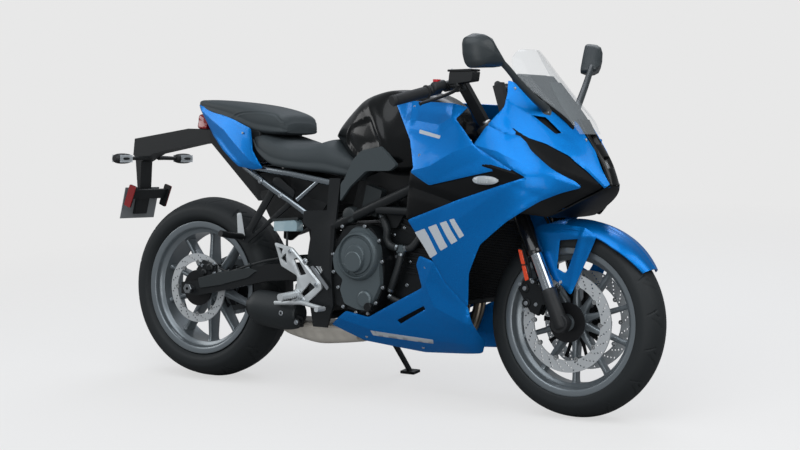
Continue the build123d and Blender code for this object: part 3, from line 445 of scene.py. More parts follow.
# Plated bar stock: grey metal with clear highlights.
axle_steel = material("plated_axle_steel", "#9fa3a6", metallic=1.0, roughness=0.3)
parts = [(*round_bar(*front_axle, -119, 119, 11, 8), axle_steel),
         (*round_bar(*front_axle, -124, -118, 15, 8, 6), axle_steel)]
piece("front_axle_turned", parts, "steering", ["front_axle"])
parts = [(*round_bar(*rear_axle, -143, 157, 13, 6), axle_steel),
         (*round_bar(*rear_axle, -150, -142, 18, 6, 6), axle_steel),
         (*round_bar(*rear_axle, 148, 158, 18, 6, 6), axle_steel)]
piece("rear_axle_turned", parts, "chassis", ["rear_axle"])
parts = [(*round_bar(-155, 412, -163, 163, 12, 0, 40), axle_steel),
         (*round_bar(-155, 412, -166, -161, 17, 0, 6), plated),
         (*round_bar(-155, 412, 161, 166, 17, 0, 6), plated)]
piece("swingarm_pivot_turned", parts, "chassis", ["swingarm_pivot"])

sprocket_y = 104
teeth = 47
tooth_middle, tooth_height = 100.5, 4.2
angle = np.linspace(0, 2 * pi, teeth * 8, endpoint=False)
tooth = tooth_middle + tooth_height * np.clip(1.6 * np.cos(teeth * angle), -1, 1)
rim_line = np.stack([tooth * np.cos(angle), tooth * np.sin(angle)], axis=1)
count = len(angle)
ends = []
for y in (sprocket_y - 3, sprocket_y + 3):
    for line in (rim_line, rim_line * (62 / np.linalg.norm(rim_line, axis=1))[:, None]):
        ends.append(np.stack([rear_axle[0] + line[:, 0], np.full(count, y), rear_axle[1] + line[:, 1]],
                             axis=1))
points = np.stack([ends[0], ends[1], ends[3], ends[2]])
sprocket_steel = material("hardened_sprocket_steel", "#6d6f70", metallic=1.0, roughness=0.38)
parts = [(points, closed_grid(4, count), sprocket_steel),
         (*round_bar(*rear_axle, sprocket_y - 8, sprocket_y - 1, 72, 30, 60), carrier_black)]
for k in range(5):
    at = 2 * pi * k / 5
    parts.append((*round_bar(rear_axle[0] + 66 * cos(at), rear_axle[1] + 66 * sin(at), 96, 112, 7, 0, 6),
                  plated))
piece("rear_sprocket_toothed", parts, "rear_wheel", ["rear_sprocket"], sharp=30)


# ---- fork ----
# Upside-down fork: black anodised outer tubes in both yokes, bright chromed inner tubes
# below them and black cast feet that hold the axle and the calipers.
def solid_copy(node, finish, bevel, sharp=30):
    """The CAD solid of a node as a finished piece: a merged copy of its mesh with eased edges."""
    source = frame["nodes"][node]
    mesh = source.data.copy()
    shell = bmesh.new()
    shell.from_mesh(mesh)
    bmesh.ops.remove_doubles(shell, verts=shell.verts, dist=2e-5)
    bmesh.ops.dissolve_limit(shell, angle_limit=radians(0.4), verts=shell.verts, edges=shell.edges)
    shell.to_mesh(mesh)
    shell.free()
    mesh.materials.clear()
    mesh.materials.append(finish)
    finished(node + "_finished", mesh, source["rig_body"], [node], bevel, sharp)


# Anodising is glossy and deep black, chrome mirrors the room, paint on castings is satin,
# and moulded plastic has a fine leathery grain.
fork_black = material("gloss_black_anodising", "#141517", metallic=0.3, roughness=0.22, Coat_Weight=0.6,
                      Coat_Roughness=0.08)
chrome = material("hard_chrome", "#b9c0c6", metallic=1.0, roughness=0.12)
cast_black = material("satin_black_casting", "#202224", metallic=0.25, roughness=0.5)
plastic = grain(material("textured_black_plastic", "#131618", roughness=0.55), 1.6, 0.05)


leg_offset, leg_half_spread = 32.5, 106


def leg_turned(side, stations, finish, steps=48):
    """Round length of a fork leg: stations of (height on the steering axis, radius)."""
    angle = np.linspace(0, 2 * pi, steps, endpoint=False)
    rings = []
    for height, radius in stations:
        forward = leg_offset + radius * np.cos(angle)
        across = side * leg_half_spread + radius * np.sin(angle)
        rings.append(np.stack([axis_x(height) + forward * cos(rake), across, height + forward * sin(rake)],
                              axis=1))
    return np.array(rings), closed_grid(len(rings), steps, wrap_rows=False), finish


parts = []
for side in (-1, 1):
    parts.append(leg_turned(side, [(492, 20.5), (492, 25), (494, 26.5), (506, 26.5), (508, 25.5),
                                   (890, 25.5), (892, 24), (892, 1)], fork_black))
    parts.append(leg_turned(side, [(386, 20.4), (496, 20.4)], chrome))
    parts.append(leg_turned(side, [(272, 1), (272, 21), (280, 25), (330, 24), (372, 25), (384, 25),
                                   (388, 22.5), (388, 20)], cast_black))
    middle = side * leg_half_spread
    parts.append((*round_bar(*front_axle, middle - 15, middle + 15, 29.5, 11.3, 40, 2), cast_black))
    parts.append(leg_turned(side, [(892, 1), (892, 15), (898, 15), (900, 13), (900, 1)], plated))
piece("fork_legs_turned", parts, "steering", ["fork_legs"], sharp=40)
solid_copy("fork_yokes", cast_black, 2.0)


# ---- painted panels ----
# Injection-moulded ABS panels in a blue metallic base coat under clear lacquer: nose, tank
# flanks, side cowls and the belly pan. They share one flowing surface, crossed by creases:
# each row holds, for a height, (x, half width) from the rear of the panels to the nose.
fairing_rows = [
    (150, [(-130, 105), (20, 108), (160, 105), (260, 100), (350, 95), (420, 88), (445, 70), (455, 30)]),
    (240, [(-130, 155), (20, 160), (160, 175), (260, 185), (350, 190), (430, 187), (468, 165), (480, 120)]),
    (334, [(-130, 165), (20, 175), (160, 190), (285, 198), (370, 202), (451, 203), (480, 200), (500, 180)]),
    (480, [(-130, 170), (20, 180), (160, 200), (280, 212), (390, 223), (472, 226), (520, 224), (560, 210)]),
    (600, [(-130, 170), (50, 190), (200, 222), (320, 226), (430, 228), (520, 227), (598, 217), (660, 190)]),
    (730, [(-130, 150), (100, 175), (250, 212), (400, 229), (523, 231), (649, 225), (751, 170), (852, 30)]),
    (850, [(-130, 130), (100, 158), (230, 188), (350, 203), (450, 206), (607, 190), (715, 112), (786, 30)]),
    (950, [(-130, 80), (100, 114), (200, 127), (300, 143), (400, 166), (540, 165), (633, 110), (726, 30)]),
    (1060, [(-130, 50), (100, 60), (190, 80), (300, 105), (400, 130), (500, 137), (575, 100), (632, 30)]),
]


def hermite(knots, values, at):
    """Cubic through unevenly spaced knots, one row of knots for each point asked for; beyond
    the ends it runs on straight."""
    chord = np.diff(values, axis=1) / np.diff(knots, axis=1)
    slope = np.concatenate([chord[:, :1], (chord[:, 1:] + chord[:, :-1]) / 2, chord[:, -1:]], axis=1)
    k = np.clip((at[:, None] >= knots).sum(axis=1) - 1, 0, knots.shape[1] - 2)
    x0, x1, y0, y1, m0, m1 = (np.take_along_axis(table, j[:, None], axis=1)[:, 0]
                              for table in (knots, values, slope) for j in (k, k + 1))
    h = x1 - x0
    t = (at - x0) / h
    u = np.clip(t, 0, 1)
    curve = ((2 * u**3 - 3 * u**2 + 1) * y0 + (u**3 - 2 * u**2 + u) * h * m0 + (3 * u**2 - 2 * u**3) * y1
             + (u**3 - u**2) * h * m1)
    return curve + (t - u) * h * np.where(t > 1, m1, m0)


def table_half_width(x, z):
    """Half width of the fairing at each (x, z): the table is first blended to the height, then
    followed along that height."""
    heights = np.array([row[0] for row in fairing_rows], float)
    table = np.array([row[1] for row in fairing_rows], float)
    levels = np.tile(heights, (len(z), 1))
    columns = [[hermite(levels, np.tile(table[:, k, c], (len(z), 1)), z) for k in range(table.shape[1])]
               for c in (0, 1)]
    return hermite(np.array(columns[0]).T, np.array(columns[1]).T, x)


def fairing_half_width(x, z):
    """Half width without the table's waves: a weighted mean of 15 places up to 90 mm above and
    below and 24 mm before and behind."""
    shares = [(dx, dz, a * b / 64) for dx, a in ((-24, 1), (0, 2), (24, 1))
              for dz, b in ((-90, 1), (-45, 4), (0, 6), (45, 4), (90, 1))]
    return sum(share * table_half_width(x + dx, z + dz) for dx, dz, share in shares)


def distance_to(line, x, z):
    """Shortest distance from each (x, z) to an open line of points."""
    best = np.full(len(x), 1e9)
    for (ax, az), (bx, bz) in zip(line, line[1:]):
        px, pz, dx, dz = x - ax, z - az, bx - ax, bz - az
        t = np.clip((px * dx + pz * dz) / (dx * dx + dz * dz), 0, 1)
        best = np.minimum(best, np.hypot(px - t * dx, pz - t * dz))
    return best


def inside(outline, x, z):
    """True where (x, z) lies inside a closed outline: an odd count of edges crossed upwards."""
    outline = np.asarray(outline, float)
    result = np.zeros(len(x), bool)
    for (ax, az), (bx, bz) in zip(outline, np.roll(outline, -1, axis=0)):
        crosses = (az > z) != (bz > z)
        result ^= crosses & (x < (bx - ax) * (z - az) / (bz - az if bz != az else 1e-9) + ax)
    return result


def bowed(points, reach=10, steps=4):
    """Closed outline with each corner turned in a small curve that starts a reach from it."""
    points = np.asarray(points, float)
    turned_points = []
    for before, corner, after in zip(np.roll(points, 1, axis=0), points, np.roll(points, -1, axis=0)):
        back, on = before - corner, after - corner
        cut = min(reach, 0.45 * np.linalg.norm(back), 0.45 * np.linalg.norm(on))
        start, end = corner + back / np.linalg.norm(back) * cut, corner + on / np.linalg.norm(on) * cut
        for t in np.linspace(0, 1, steps + 1):
            turned_points.append((1 - t) ** 2 * start + 2 * t * (1 - t) * corner + t**2 * end)
    return np.array(turned_points)


def finely(outline, step=6.0):
    """The closed outline with points added so that none lie further apart than a step."""
    result = []
    for a, b in zip(outline, np.roll(outline, -1, axis=0)):
        pieces_needed = max(1, int(ceil(np.linalg.norm(b - a) / step)))
        result += [a + (b - a) * k / pieces_needed for k in range(pieces_needed)]
    return np.array(result)


def panel(outline, side, wall=3.5, depth=0.0, ridges=(), openings=(), lip=1.3, spacing=8.0, reach=8,
          surface=None):
    """Moulded panel on the fairing surface: the outline is filled with triangles, laid on the
    surface, raised along its ridges (line, height, half width), rounded over at its lip and
    given a wall. Returns points and faces of a closed shell."""
    loops = [finely(bowed(outline, reach), spacing * 0.75)] + [finely(bowed(hole, 3), 4) for hole in openings]
    flat, edges, start = [], [], 0
    for loop in loops:
        flat += [tuple(p) for p in loop]
        edges += [(start + k, start + (k + 1) % len(loop)) for k in range(len(loop))]
        start += len(loop)
    low, high = loops[0].min(axis=0), loops[0].max(axis=0)
    gx, gz = np.meshgrid(np.arange(low[0], high[0], spacing), np.arange(low[1], high[1], spacing * 0.87))
    gx = gx + (np.arange(len(gx)) % 2)[:, None] * spacing / 2
    gx, gz = gx.ravel(), gz.ravel()
    for line, height, width in ridges:
        for (ax, az), (bx, bz) in zip(line, line[1:]):
            count = max(2, int(hypot(bx - ax, bz - az) / (spacing * 0.7)))
            t = np.linspace(0, 1, count)
            gx, gz = np.append(gx, ax + (bx - ax) * t), np.append(gz, az + (bz - az) * t)
    rims = [np.vstack([loop, loop[:1]]).tolist() for loop in loops]
    keep = inside(loops[0], gx, gz)
    for k, hole in enumerate(loops[1:]):
        keep &= ~inside(hole, gx, gz)
    for rim in rims:
        keep &= distance_to(rim, gx, gz) > spacing * 0.45
    flat += list(zip(gx[keep].tolist(), gz[keep].tolist()))
    made = delaunay_2d_cdt([Vector(p) for p in flat], edges, [], 0, 1e-4)
    spots = np.array([tuple(v) for v in made[0]])
    triangles = np.array([f for f in made[2] if len(f) == 3])
    middle = spots[triangles].mean(axis=1)
    good = inside(loops[0], *middle.T)
    for hole in loops[1:]:
        good &= ~inside(hole, *middle.T)
    triangles = triangles[good]
    x, z = spots.T
    find = surface or fairing_half_width

    def width_at(x, z):
        y = find(x, z) - depth
        for line, height, width in ridges:
            y = y + height * np.maximum(0, 1 - distance_to(line, x, z) / width)
        return y

    y = width_at(x, z)
    slope_x = (find(x + 1, z) - find(x - 1, z)) / 2
    slope_z = (find(x, z + 1) - find(x, z - 1)) / 2
    normal = np.stack([-slope_x, np.ones_like(x), -slope_z], axis=1)
    normal /= np.linalg.norm(normal, axis=1)[:, None]
    edge_reach = np.min([distance_to(rim, x, z) for rim in rims], axis=0)
    rounding = lip * np.clip(1 - edge_reach / 2.5, 0, 1) ** 2
    face = np.stack([x, y, z], axis=1) - normal * rounding[:, None]
    back = np.stack([x, y, z], axis=1) - normal * wall
    count = len(spots)
    pairs = np.concatenate([triangles[:, [k, (k + 1) % 3]] for k in range(3)]).tolist()
    known = {tuple(p) for p in pairs}
    walls = [[a, b, b + count, a + count] for a, b in pairs if (b, a) not in known]
    points = np.concatenate([face, back]) * (1, side, 1)
    return points, triangles.tolist() + (triangles[:, ::-1] + count).tolist() + walls


flakes_per_metre = 900


def metallic_paint(name, base, glint, roughness):
    """Base coat with fine flakes under lacquer: a noise of about a millimetre moves the colour
    a little, as flakes finer than that don't show at this scale."""
    made = material(name, base, metallic=0.75, roughness=roughness, Specular_IOR_Level=0.2, Coat_Weight=0.22,
                    Coat_Roughness=0.08)
    tree = made.node_tree
    shader = next(n for n in tree.nodes if n.type == "BSDF_PRINCIPLED")
    place = add_node(tree, "ShaderNodeTexCoord")
    flakes = add_node(tree, "ShaderNodeTexNoise", [("Vector", place, "Object")],
                      Scale=flakes_per_metre, Detail=1)
    tone = add_node(tree, "ShaderNodeValToRGB", [(0, flakes, 0)])
    for stop, position, colour in zip(tone.color_ramp.elements, (0.35, 0.75), (base, glint)):
        stop.position, stop.color = position, linear(colour)
    tree.links.new(tone.outputs[0], shader.inputs["Base Color"])
    return made


# The eye sees deep blue that lightens where the panel turns to the light.
blue = metallic_paint("blue_metallic_lacquer", "#0068bc", "#048cde", 0.4)
tank_cover = [(100, 968), (174, 975), (352, 969), (414, 957), (375, 920), (422, 882), (470, 841), (662, 746),
              (546, 762), (312, 710), (234, 749), (245, 762), (207, 850)]
side_cowl = [(470, 841), (500, 903), (560, 880), (618, 872), (654, 829), (722, 775), (783, 735), (795, 718),
             (751, 701), (696, 674), (595, 607), (508, 534), (466, 442), (455, 336), (373, 409), (334, 472),
             (233, 598), (424, 668), (662, 746)]
lower_cowl = [(275, 487), (334, 472), (373, 409), (455, 336), (464, 267), (466, 219), (447, 182), (248, 171),
              (16, 192), (-108, 237), (-40, 287), (52, 273), (284, 386), (261, 457)]
nose_cowl = [(536, 1042), (548, 1040), (636, 978), (738, 915), (800, 830), (852, 722), (842, 714), (800, 768),
             (750, 815), (685, 850), (618, 872), (560, 880), (500, 903), (545, 960), (546, 998)]
panel_creases = {
    "tank_covers": (tank_cover, [([(470, 841), (395, 815), (312, 770), (234, 752)], 7, 55),
                                 ([(190, 915), (318, 900), (360, 925), (352, 969)], 5, 28),
                                 ([(190, 915), (176, 955), (172, 974)], 4, 24)], ()),
    "side_cowls": (side_cowl, [([(470, 841), (560, 822), (660, 780), (795, 718)], 9, 70),
                               ([(662, 746), (560, 690), (420, 600), (334, 472)], 5, 60)], ()),
    "lower_cowls": (lower_cowl, [([(334, 472), (300, 400), (330, 330), (455, 280)], 5, 45),
                                 ([(-70, 262), (52, 235), (248, 215), (447, 215)], 5, 40)],
                    ([(173, 273), (186, 262), (294, 318), (286, 328)],)),
    "nose_cowls": (nose_cowl, [([(545, 985), (640, 925), (742, 850), (846, 716)], 6, 45)],
                   ([(628, 936), (660, 931), (712, 884), (700, 880)],)),
}
for node, (outline, ridges, openings) in panel_creases.items():
    parts = [(*panel(outline, side, ridges=ridges, openings=openings), blue) for side in (-1, 1)]
    piece(node + "_painted", parts, "chassis", [node], sharp=11)


# ---- fuel tank ----
# Pressed steel tank in gloss black: a rounded crown, a shoulder that falls to narrow flanks
# and a knee recess with a raised fold beside it on each side.
def skin(sections, along, around):
    """Closed smooth skin through sections of equal point counts. Each section runs round once;
    both ways the surface follows `through`, so it passes every given point."""
    sections = np.asarray(sections, float)
    count = sections.shape[1]
    wrapped = np.concatenate([sections[:, -2:], sections, sections[:, :3]], axis=1)
    fine = through(np.swapaxes(wrapped, 0, 1), (count + 4) * around + 1)[2 * around:(count + 2) * around]
    fine = through(np.swapaxes(fine, 0, 1), (len(sections) - 1) * along + 1)
    rows, columns = fine.shape[:2]
    points, faces = fine.reshape(-1, 3), closed_grid(rows, columns, wrap_rows=False)
    for row in (0, rows - 1):
        middle = len(points)
        points = np.vstack([points, fine[row].mean(axis=0)])
        faces += [[row * columns + k, row * columns + (k + 1) % columns, middle] for k in range(columns)]
    return points, faces


def mirrored(half):
    """Full (y, z) section from the points on the left, given from bottom to top."""
    return [(y, z) for y, z in half] + [(-y, z) for y, z in reversed(half)]


tank_stations = [
    (-178, [(14, 846), (34, 850), (42, 856), (34, 866), (16, 872)]),
    (-150, [(38, 828), (66, 846), (70, 866), (52, 890), (26, 904)]),
    (-95, [(70, 788), (106, 846), (94, 905), (64, 938), (30, 954)]),
    (-37, [(92, 770), (132, 844), (122, 920), (88, 968), (40, 988)]),
    (48, [(104, 746), (149, 842), (124, 942), (92, 996), (44, 1008)]),
    (120, [(104, 742), (151, 846), (108, 948), (86, 998), (44, 1009)]),
    (200, [(98, 752), (148, 848), (116, 936), (82, 982), (42, 998)]),
    (270, [(80, 790), (122, 848), (100, 916), (66, 950), (36, 966)]),
    (316, [(54, 838), (84, 850), (74, 888), (52, 902), (26, 908)]),
]
knee_recess = bowed([(-92, 838), (-78, 884), (18, 918), (76, 834), (-8, 822), (-38, 792)], 14, 6)
rear_fold = [(-6, 968), (40, 905), (112, 792)]
# Black lacquer is deep, with a soft clear sheen.
gloss_black = material("gloss_black_lacquer", "#090b0c", roughness=0.26, Specular_IOR_Level=0.2,
                       Coat_Weight=0.25, Coat_Roughness=0.05)
points, faces = skin([[(x, y, z) for y, z in mirrored(half)] for x, half in tank_stations], 16, 10)
x, y, z = points.T
rim = np.vstack([knee_recess, knee_recess[:1]]).tolist()
within = np.where(inside(knee_recess, x, z), 1, -1) * distance_to(rim, x, z)
recess_depth, fold_height, fold_reach = 9, 5, 22
sunk = recess_depth * np.clip(within / recess_depth + 0.5, 0, 1)
folded = fold_height * np.clip(1 - distance_to(rear_fold, x, z) / fold_reach, 0, 1)
flank = np.clip((np.abs(y) - 60) / 30, 0, 1)
points = np.stack([x, y - np.sign(y) * (sunk - folded) * flank, z], axis=1)
piece("fuel_tank_pressed", [(points, faces, gloss_black)], "chassis", ["fuel_tank"], sharp=50)

# ---- fuel cap ----
# Cast cap in satin black on top of the tank: a stepped lid with six plated screws and a
# hinge barrel in front.
cap_place = (70, 0, 1000)
satin_black = grain(material("satin_black_casting", "#17191b", metallic=0.3, roughness=0.45), 0.8, 0.03)
steel_screw = material("plated_screw", "#b9bec2", metallic=1.0, roughness=0.28)


def upright_turned(profile, x, y, z, steps=72):
    """Round piece standing on a level: profile of (radius, height) from the middle outwards
    and down, spun about the upright line through (x, y)."""
    angle = np.linspace(0, 2 * pi, steps, endpoint=False)[:, None]
    r, h = np.array(profile, float).T
    points = np.stack([x + r * np.cos(angle), y + r * np.sin(angle), z + h + 0 * angle], axis=-1)
    return points.reshape(-1, 3), closed_grid(steps, len(profile), wrap_columns=False)


cap_screw = [(0.1, 10.2), (1.4, 10.2), (1.6, 9.0), (2.6, 9.6), (3.3, 9.2), (3.3, 7)]
lid = [(0.1, 9), (22, 9), (24, 8), (30, 8), (32, 9), (39, 8.6), (43, 6.5), (44.5, 3), (44.5, 0.4), (0.1, 0.4)]
parts = [(*upright_turned(lid, *cap_place), satin_black)]
for k in range(6):
    turn = radians(60 * k + 30)
    parts.append((*upright_turned(cap_screw, cap_place[0] + 36 * cos(turn), 36 * sin(turn), cap_place[2],
                                  20), steel_screw))
parts.append((*round_bar(119, 1005, -12, 12, 3.5), satin_black))
parts.append((*slab([(85, 1007), (119, 1001.6), (121, 1005), (118, 1008), (85, 1009.5)], -11, 11),
              satin_black))
piece("fuel_cap_cast", parts, "fuel_cap", ["fuel_cap"], bevel=0.6)


# ---- seats ----
# Foam cushions in grained vinyl, stretched over a plastic base: the rider's hollow rises to
# the passenger's pad, whose side panel is set off by a sunk seam. Vinyl is dark grey and
# matt, with a leathery grain.
vinyl = grain(material("grained_vinyl", "#353c3f", roughness=0.62, Specular_IOR_Level=0.4), 1.6, 0.12, 3.0)
rider_stations = [
    (-44, [(84, 712), (98, 742), (86, 764), (54, 776), (26, 778)]),
    (-78, [(92, 720), (112, 748), (104, 778), (70, 792), (32, 794)]),
    (-125, [(100, 726), (121, 758), (112, 796), (76, 812), (34, 816)]),
    (-175, [(108, 732), (132, 768), (122, 812), (82, 836), (36, 844)]),
    (-240, [(118, 737), (143, 768), (133, 806), (88, 824), (40, 828)]),
    (-310, [(124, 743), (149, 772), (138, 806), (92, 823), (42, 826)]),
    (-380, [(122, 752), (147, 784), (138, 822), (96, 838), (44, 841)]),
    (-440, [(116, 790), (136, 812), (128, 842), (94, 853), (44, 856)]),
    (-478, [(100, 834), (114, 842), (108, 850), (84, 855), (40, 857)]),
]
passenger_stations = [
    (-360, [(70, 862), (84, 872), (80, 884), (58, 892), (28, 895)]),
    (-378, [(84, 858), (101, 880), (96, 908), (68, 920), (32, 924)]),
    (-420, [(92, 857), (110, 886), (105, 918), (74, 934), (34, 938)]),
    (-490, [(94, 864), (111, 896), (106, 932), (74, 948), (34, 951)]),
    (-570, [(92, 894), (106, 920), (100, 946), (70, 958), (32, 961)]),
    (-650, [(80, 914), (92, 936), (87, 954), (60, 964), (28, 967)]),
    (-720, [(60, 932), (70, 946), (66, 960), (46, 968), (22, 970)]),
    (-784, [(30, 952), (36, 957), (34, 963), (24, 967), (12, 969)]),
]
seam_side = [(-585, 899), (-566, 916), (-530, 926), (-465, 929), (-405, 922), (-372, 900)]


def groove(points, line, depth, width, least_y):
    """Presses a seam into the sides of a skin: points near the line move in towards the middle,
    and those beside it swell out by half as much."""
    x, y, z = np.asarray(points).T
    off = distance_to(line, x, z)
    swell = 0.5 * depth * np.clip(1 - ((off - 2 * width) / width) ** 2, 0, 1)
    sunk = depth * np.clip(1 - (off / width) ** 2, 0, 1) - swell
    return np.stack([x, y - np.sign(y) * sunk * np.clip((np.abs(y) - least_y) / 15, 0, 1), z], axis=1)


for node, stations in (("rider_seat", rider_stations), ("passenger_seat", passenger_stations)):
    points, faces = skin([[(x, y, z) for y, z in mirrored(half)] for x, half in stations], 20, 14)
    if node == "passenger_seat":
        points = groove(points, through(seam_side, 60).tolist(), 2.2, 2.6, 60)
    cushion = piece(node + "_cushion", [(points, faces, vinyl)], "chassis", [node], sharp=60)


# ---- tail cowls ----
# Painted side panels under the passenger seat, in one sweep to the tail with a fold along
# their length; the same blue as the fairing.
tail_outline = [(-783, 954), (-700, 934), (-560, 903), (-472, 874), (-456, 802), (-404, 742), (-440, 736),
                (-520, 745), (-609, 797), (-679, 850)]
tail_fold = [(-760, 934), (-679, 899), (-604, 868), (-490, 790), (-430, 752)]


def tail_half_width(x, z):
    """Half width of the tail: narrows towards the rear and leans in a little with height."""
    along = hermite(np.tile([-800.0, -620, -493, -370], (len(x), 1)),
                    np.tile([50.0, 116, 145, 151], (len(x), 1)), x)
    return along - np.clip((z - 800) / 130, -0.3, 1.2) * 12


parts = [(*panel(tail_outline, side, ridges=[(tail_fold, 7, 40)], surface=tail_half_width, spacing=6), blue)
         for side in (-1, 1)]
piece("tail_cowls_painted", parts, "chassis", ["tail_cowls"], sharp=32)


# ---- front fender ----
# Painted mudguard: a crowned blade that follows the tyre to a blunt point in front, with a
# raised spine, and swept arms with a window on each side that reach down the fork.
fender_ring = 314


def fender_blade(steps=90, columns=33, wall=3.5):
    """Blade over the tyre: angle u about the axle and y across. Radius falls off towards the
    sides by a power of y, rises a little along the spine, and the blade narrows to its tips."""
    u = np.linspace(radians(34), radians(122), steps)[:, None]
    s = np.linspace(-1, 1, columns)[None, :]
    front = np.clip((radians(58) - u) / radians(24), 0, 1)
    back = np.clip((u - radians(112)) / radians(12), 0, 1)
    half = 76 * (1 - 0.42 * front ** 1.5) * (1 - 0.12 * back)
    spine = 3 * np.clip(1 - np.abs(s) / 0.2, 0, 1)
    radius = fender_ring + 2 - 30 * np.abs(s) ** 3.2 * (1 - 0.35 * front) + spine
    shells = []
    for depth in (0, wall):
        r = radius - depth
        shells.append(np.stack([front_axle[0] + r * np.cos(u), s * (half - 0.4 * depth),
                                front_axle[1] + r * np.sin(u)], axis=-1))
    outer, inner = shells
    ring = np.concatenate([outer, inner[:, ::-1]], axis=1)
    return ring.reshape(-1, 3), capped_grid(*ring.shape[:2])


def upright_plane(y):
    """Surface of a flat panel that stands at one half width."""
    return lambda x, z: y + 0 * x


fender_arm = [(594, 578), (640, 600), (700, 604), (790, 596), (834, 572), (805, 509), (748, 386),
              (700, 424), (684, 430), (616, 556)]
fender_window = [(704, 553), (696, 466), (726, 452), (738, 470), (768, 560)]


def fender_arm_half_width(x, z):
    """Half width of the fender's arms: upright, drawn in by 6 towards the blade."""
    return 76.5 + 0 * x - np.clip((z - 560) / 60, 0, 1) * 6


parts = [(*fender_blade(), blue)]
for side in (-1, 1):
    parts.append((*panel(fender_arm, side, openings=[fender_window], spacing=7,
                         ridges=[([(600, 572), (690, 574), (828, 566)], 3, 18),
                                 ([(790, 590), (738, 392)], 2.5, 16)], surface=fender_arm_half_width), blue))
    parts.append((*round_bar(712, 424, side * 76, side * 79.4, 5.5), steel_screw))
piece("front_fender_painted", parts, "steering", ["front_fender"], sharp=32)


# ---- inner cowls ----
# Dark cowls of textured ABS behind the blue panels and the nose vents, and a chin under the
# nose. Moulded black: matt, with a fine grain. The sunk cowls, the backs behind the vents and
# the chin are darker still, in painted shade of the recesses and of the space under the nose.
inner_outline = [(560, 905), (690, 870), (760, 825), (836, 733), (830, 716), (712, 626), (600, 640),
                 (420, 640), (225, 600), (225, 755), (312, 735), (546, 790)]
dark_abs = grain(material("textured_dark_abs", "#23292b", roughness=0.5), 0.8, 0.04)
# Near black: black plastic with the shade of the recesses painted into it.
black_and_recess_shade = grain(material("black_abs_with_painted_recess_shade", "#06080a", roughness=0.5, Specular_IOR_Level=0.15), 0.8, 0.04)
inset_folds = [([(470, 790), (560, 770), (662, 746)], 6, 24), ([(240, 700), (330, 680), (440, 650)], -8, 26),
               ([(585, 895), (640, 850), (720, 790), (830, 724)], 5, 20)]
vent_back = [(612, 946), (668, 944), (728, 882), (700, 868), (640, 900)]
parts = [(*panel(inner_outline, side, wall=3, depth=4.4, ridges=inset_folds), black_and_recess_shade)
         for side in (-1, 1)]
# A near-black back sunk behind each nose vent: painted shade in the opening.
parts += [(*panel(vent_back, side, wall=2, depth=13), black_and_recess_shade) for side in (-1, 1)]
chin = [(702, 148, 621), (740, 128, 640), (795, 98, 674), (832, 60, 700), (852, 28, 722)]
chin_grid = np.array([[(x, s * half, z + 5 * abs(s) ** 3) for s in np.linspace(-1, 1, 17)]
                      for x, half, z in through(chin, 33)])
shell = np.concatenate([chin_grid, (chin_grid + (0, 0, 4))[:, ::-1]], axis=1)
parts.append((shell, capped_grid(*shell.shape[:2]), black_and_recess_shade))
piece("inner_cowls_moulded", parts, "chassis", ["inner_cowls"], sharp=25)


# ---- screen ----
# Clear acrylic, thermoformed in one bow: nearly invisible, with a glint at its edges. A black
# shroud lines its middle and right side and hides what lies inside; its near black is partly
# the plastic and partly painted shade behind the screen.
glass = material("clear_acrylic", "#c9d1d5", roughness=0.02, Alpha=0.14, Specular_IOR_Level=0.6,
                 Coat_Weight=0.6, Coat_Roughness=0.01)
screen_levels = [
    (882, 775, [(0, 0), (30, -3), (52, -9), (62, -13)]),
    (930, 746, [(0, 0), (40, -5), (66, -14), (78, -24)]),
    (990, 692, [(0, 0), (44, -8), (78, -26), (98, -50)]),
    (1050, 637, [(0, 0), (46, -9), (84, -34), (112, -74)]),
    (1100, 592, [(0, 0), (42, -8), (76, -28), (98, -60)]),
    (1130, 566, [(0, 0), (34, -6), (58, -18), (74, -38)]),
    (1142, 555, [(0, 0), (22, -3), (40, -10), (50, -22)])]
half_grid = np.array([[(front + back, y, z) for y, back in row] for z, front, row in screen_levels])
full_grid = np.concatenate([half_grid[:, :0:-1] * (1, -1, 1), half_grid], axis=1)
fine = through(np.swapaxes(through(full_grid, 61), 0, 1), 49)
shell = np.concatenate([fine, (fine - (3.6, 0, 1.6))[::-1]])
piece("windscreen_moulded", [(shell, capped_grid(*shell.shape[:2], True), glass)], "chassis",
      ["windscreen"], sharp=40)
# Sheet behind the screen in near black: black plastic and painted shade in one.
cockpit = fine[:, :34] * (1, 0.94, 1) - (15, 0, 7)
shell = np.concatenate([cockpit, (cockpit - (2, 0, 1))[::-1]])
piece("cockpit_shroud_and_painted_shade", [(shell, capped_grid(*shell.shape[:2], True), black_and_recess_shade)], "chassis",
      sharp=40)


# ---- headlight ----
# Gloss black lamp mask with two stacked lens units: each a polished bowl, a glass ball and a
# clear cover, sunk in a square recess.
lamp_glass = material("lamp_lens", "#dfe6ea", roughness=0.02, Alpha=0.3, Specular_IOR_Level=0.9,
                      Coat_Weight=1.0)
reflector = material("lamp_reflector", "#c8ced2", metallic=1.0, roughness=0.12)
mask_levels = [(728, 853, 4, 26), (760, 838, 9, 29), (800, 820, 8, 29.6), (850, 788, 7, 29.6),
               (885, 764, 3, 29.6), (926, 740, 1, 29.6)]
lamp_recesses = [(770, 858, 13.5), (821, 791, 15)]
mask = [[(x - 60, -half, z), (x - 20, -half, z), (x - 2, -half, z), (x + bulge, -half * 0.4, z),
         (x + bulge, half * 0.4, z), (x - 2, half, z), (x - 20, half, z), (x - 60, half, z)]
        for z, x, bulge, half in mask_levels]
points, faces = skin(mask, 10, 4)
lamp_axis = np.array([0.86, 0.0, 0.51])
lamp_up = np.array([-0.51, 0.0, 0.86])
for x, z, radius in lamp_recesses:
    away = points - (x, 0, z)
    reach = np.maximum(np.abs(away[:, 1]), np.abs(away @ lamp_up))
    front = away @ lamp_axis
    points -= lamp_axis * (np.clip((radius + 5 - reach) / 5, 0, 1) * np.clip(front + 14, 0, 16))[:, None]
parts = [(points, faces, gloss_black)]


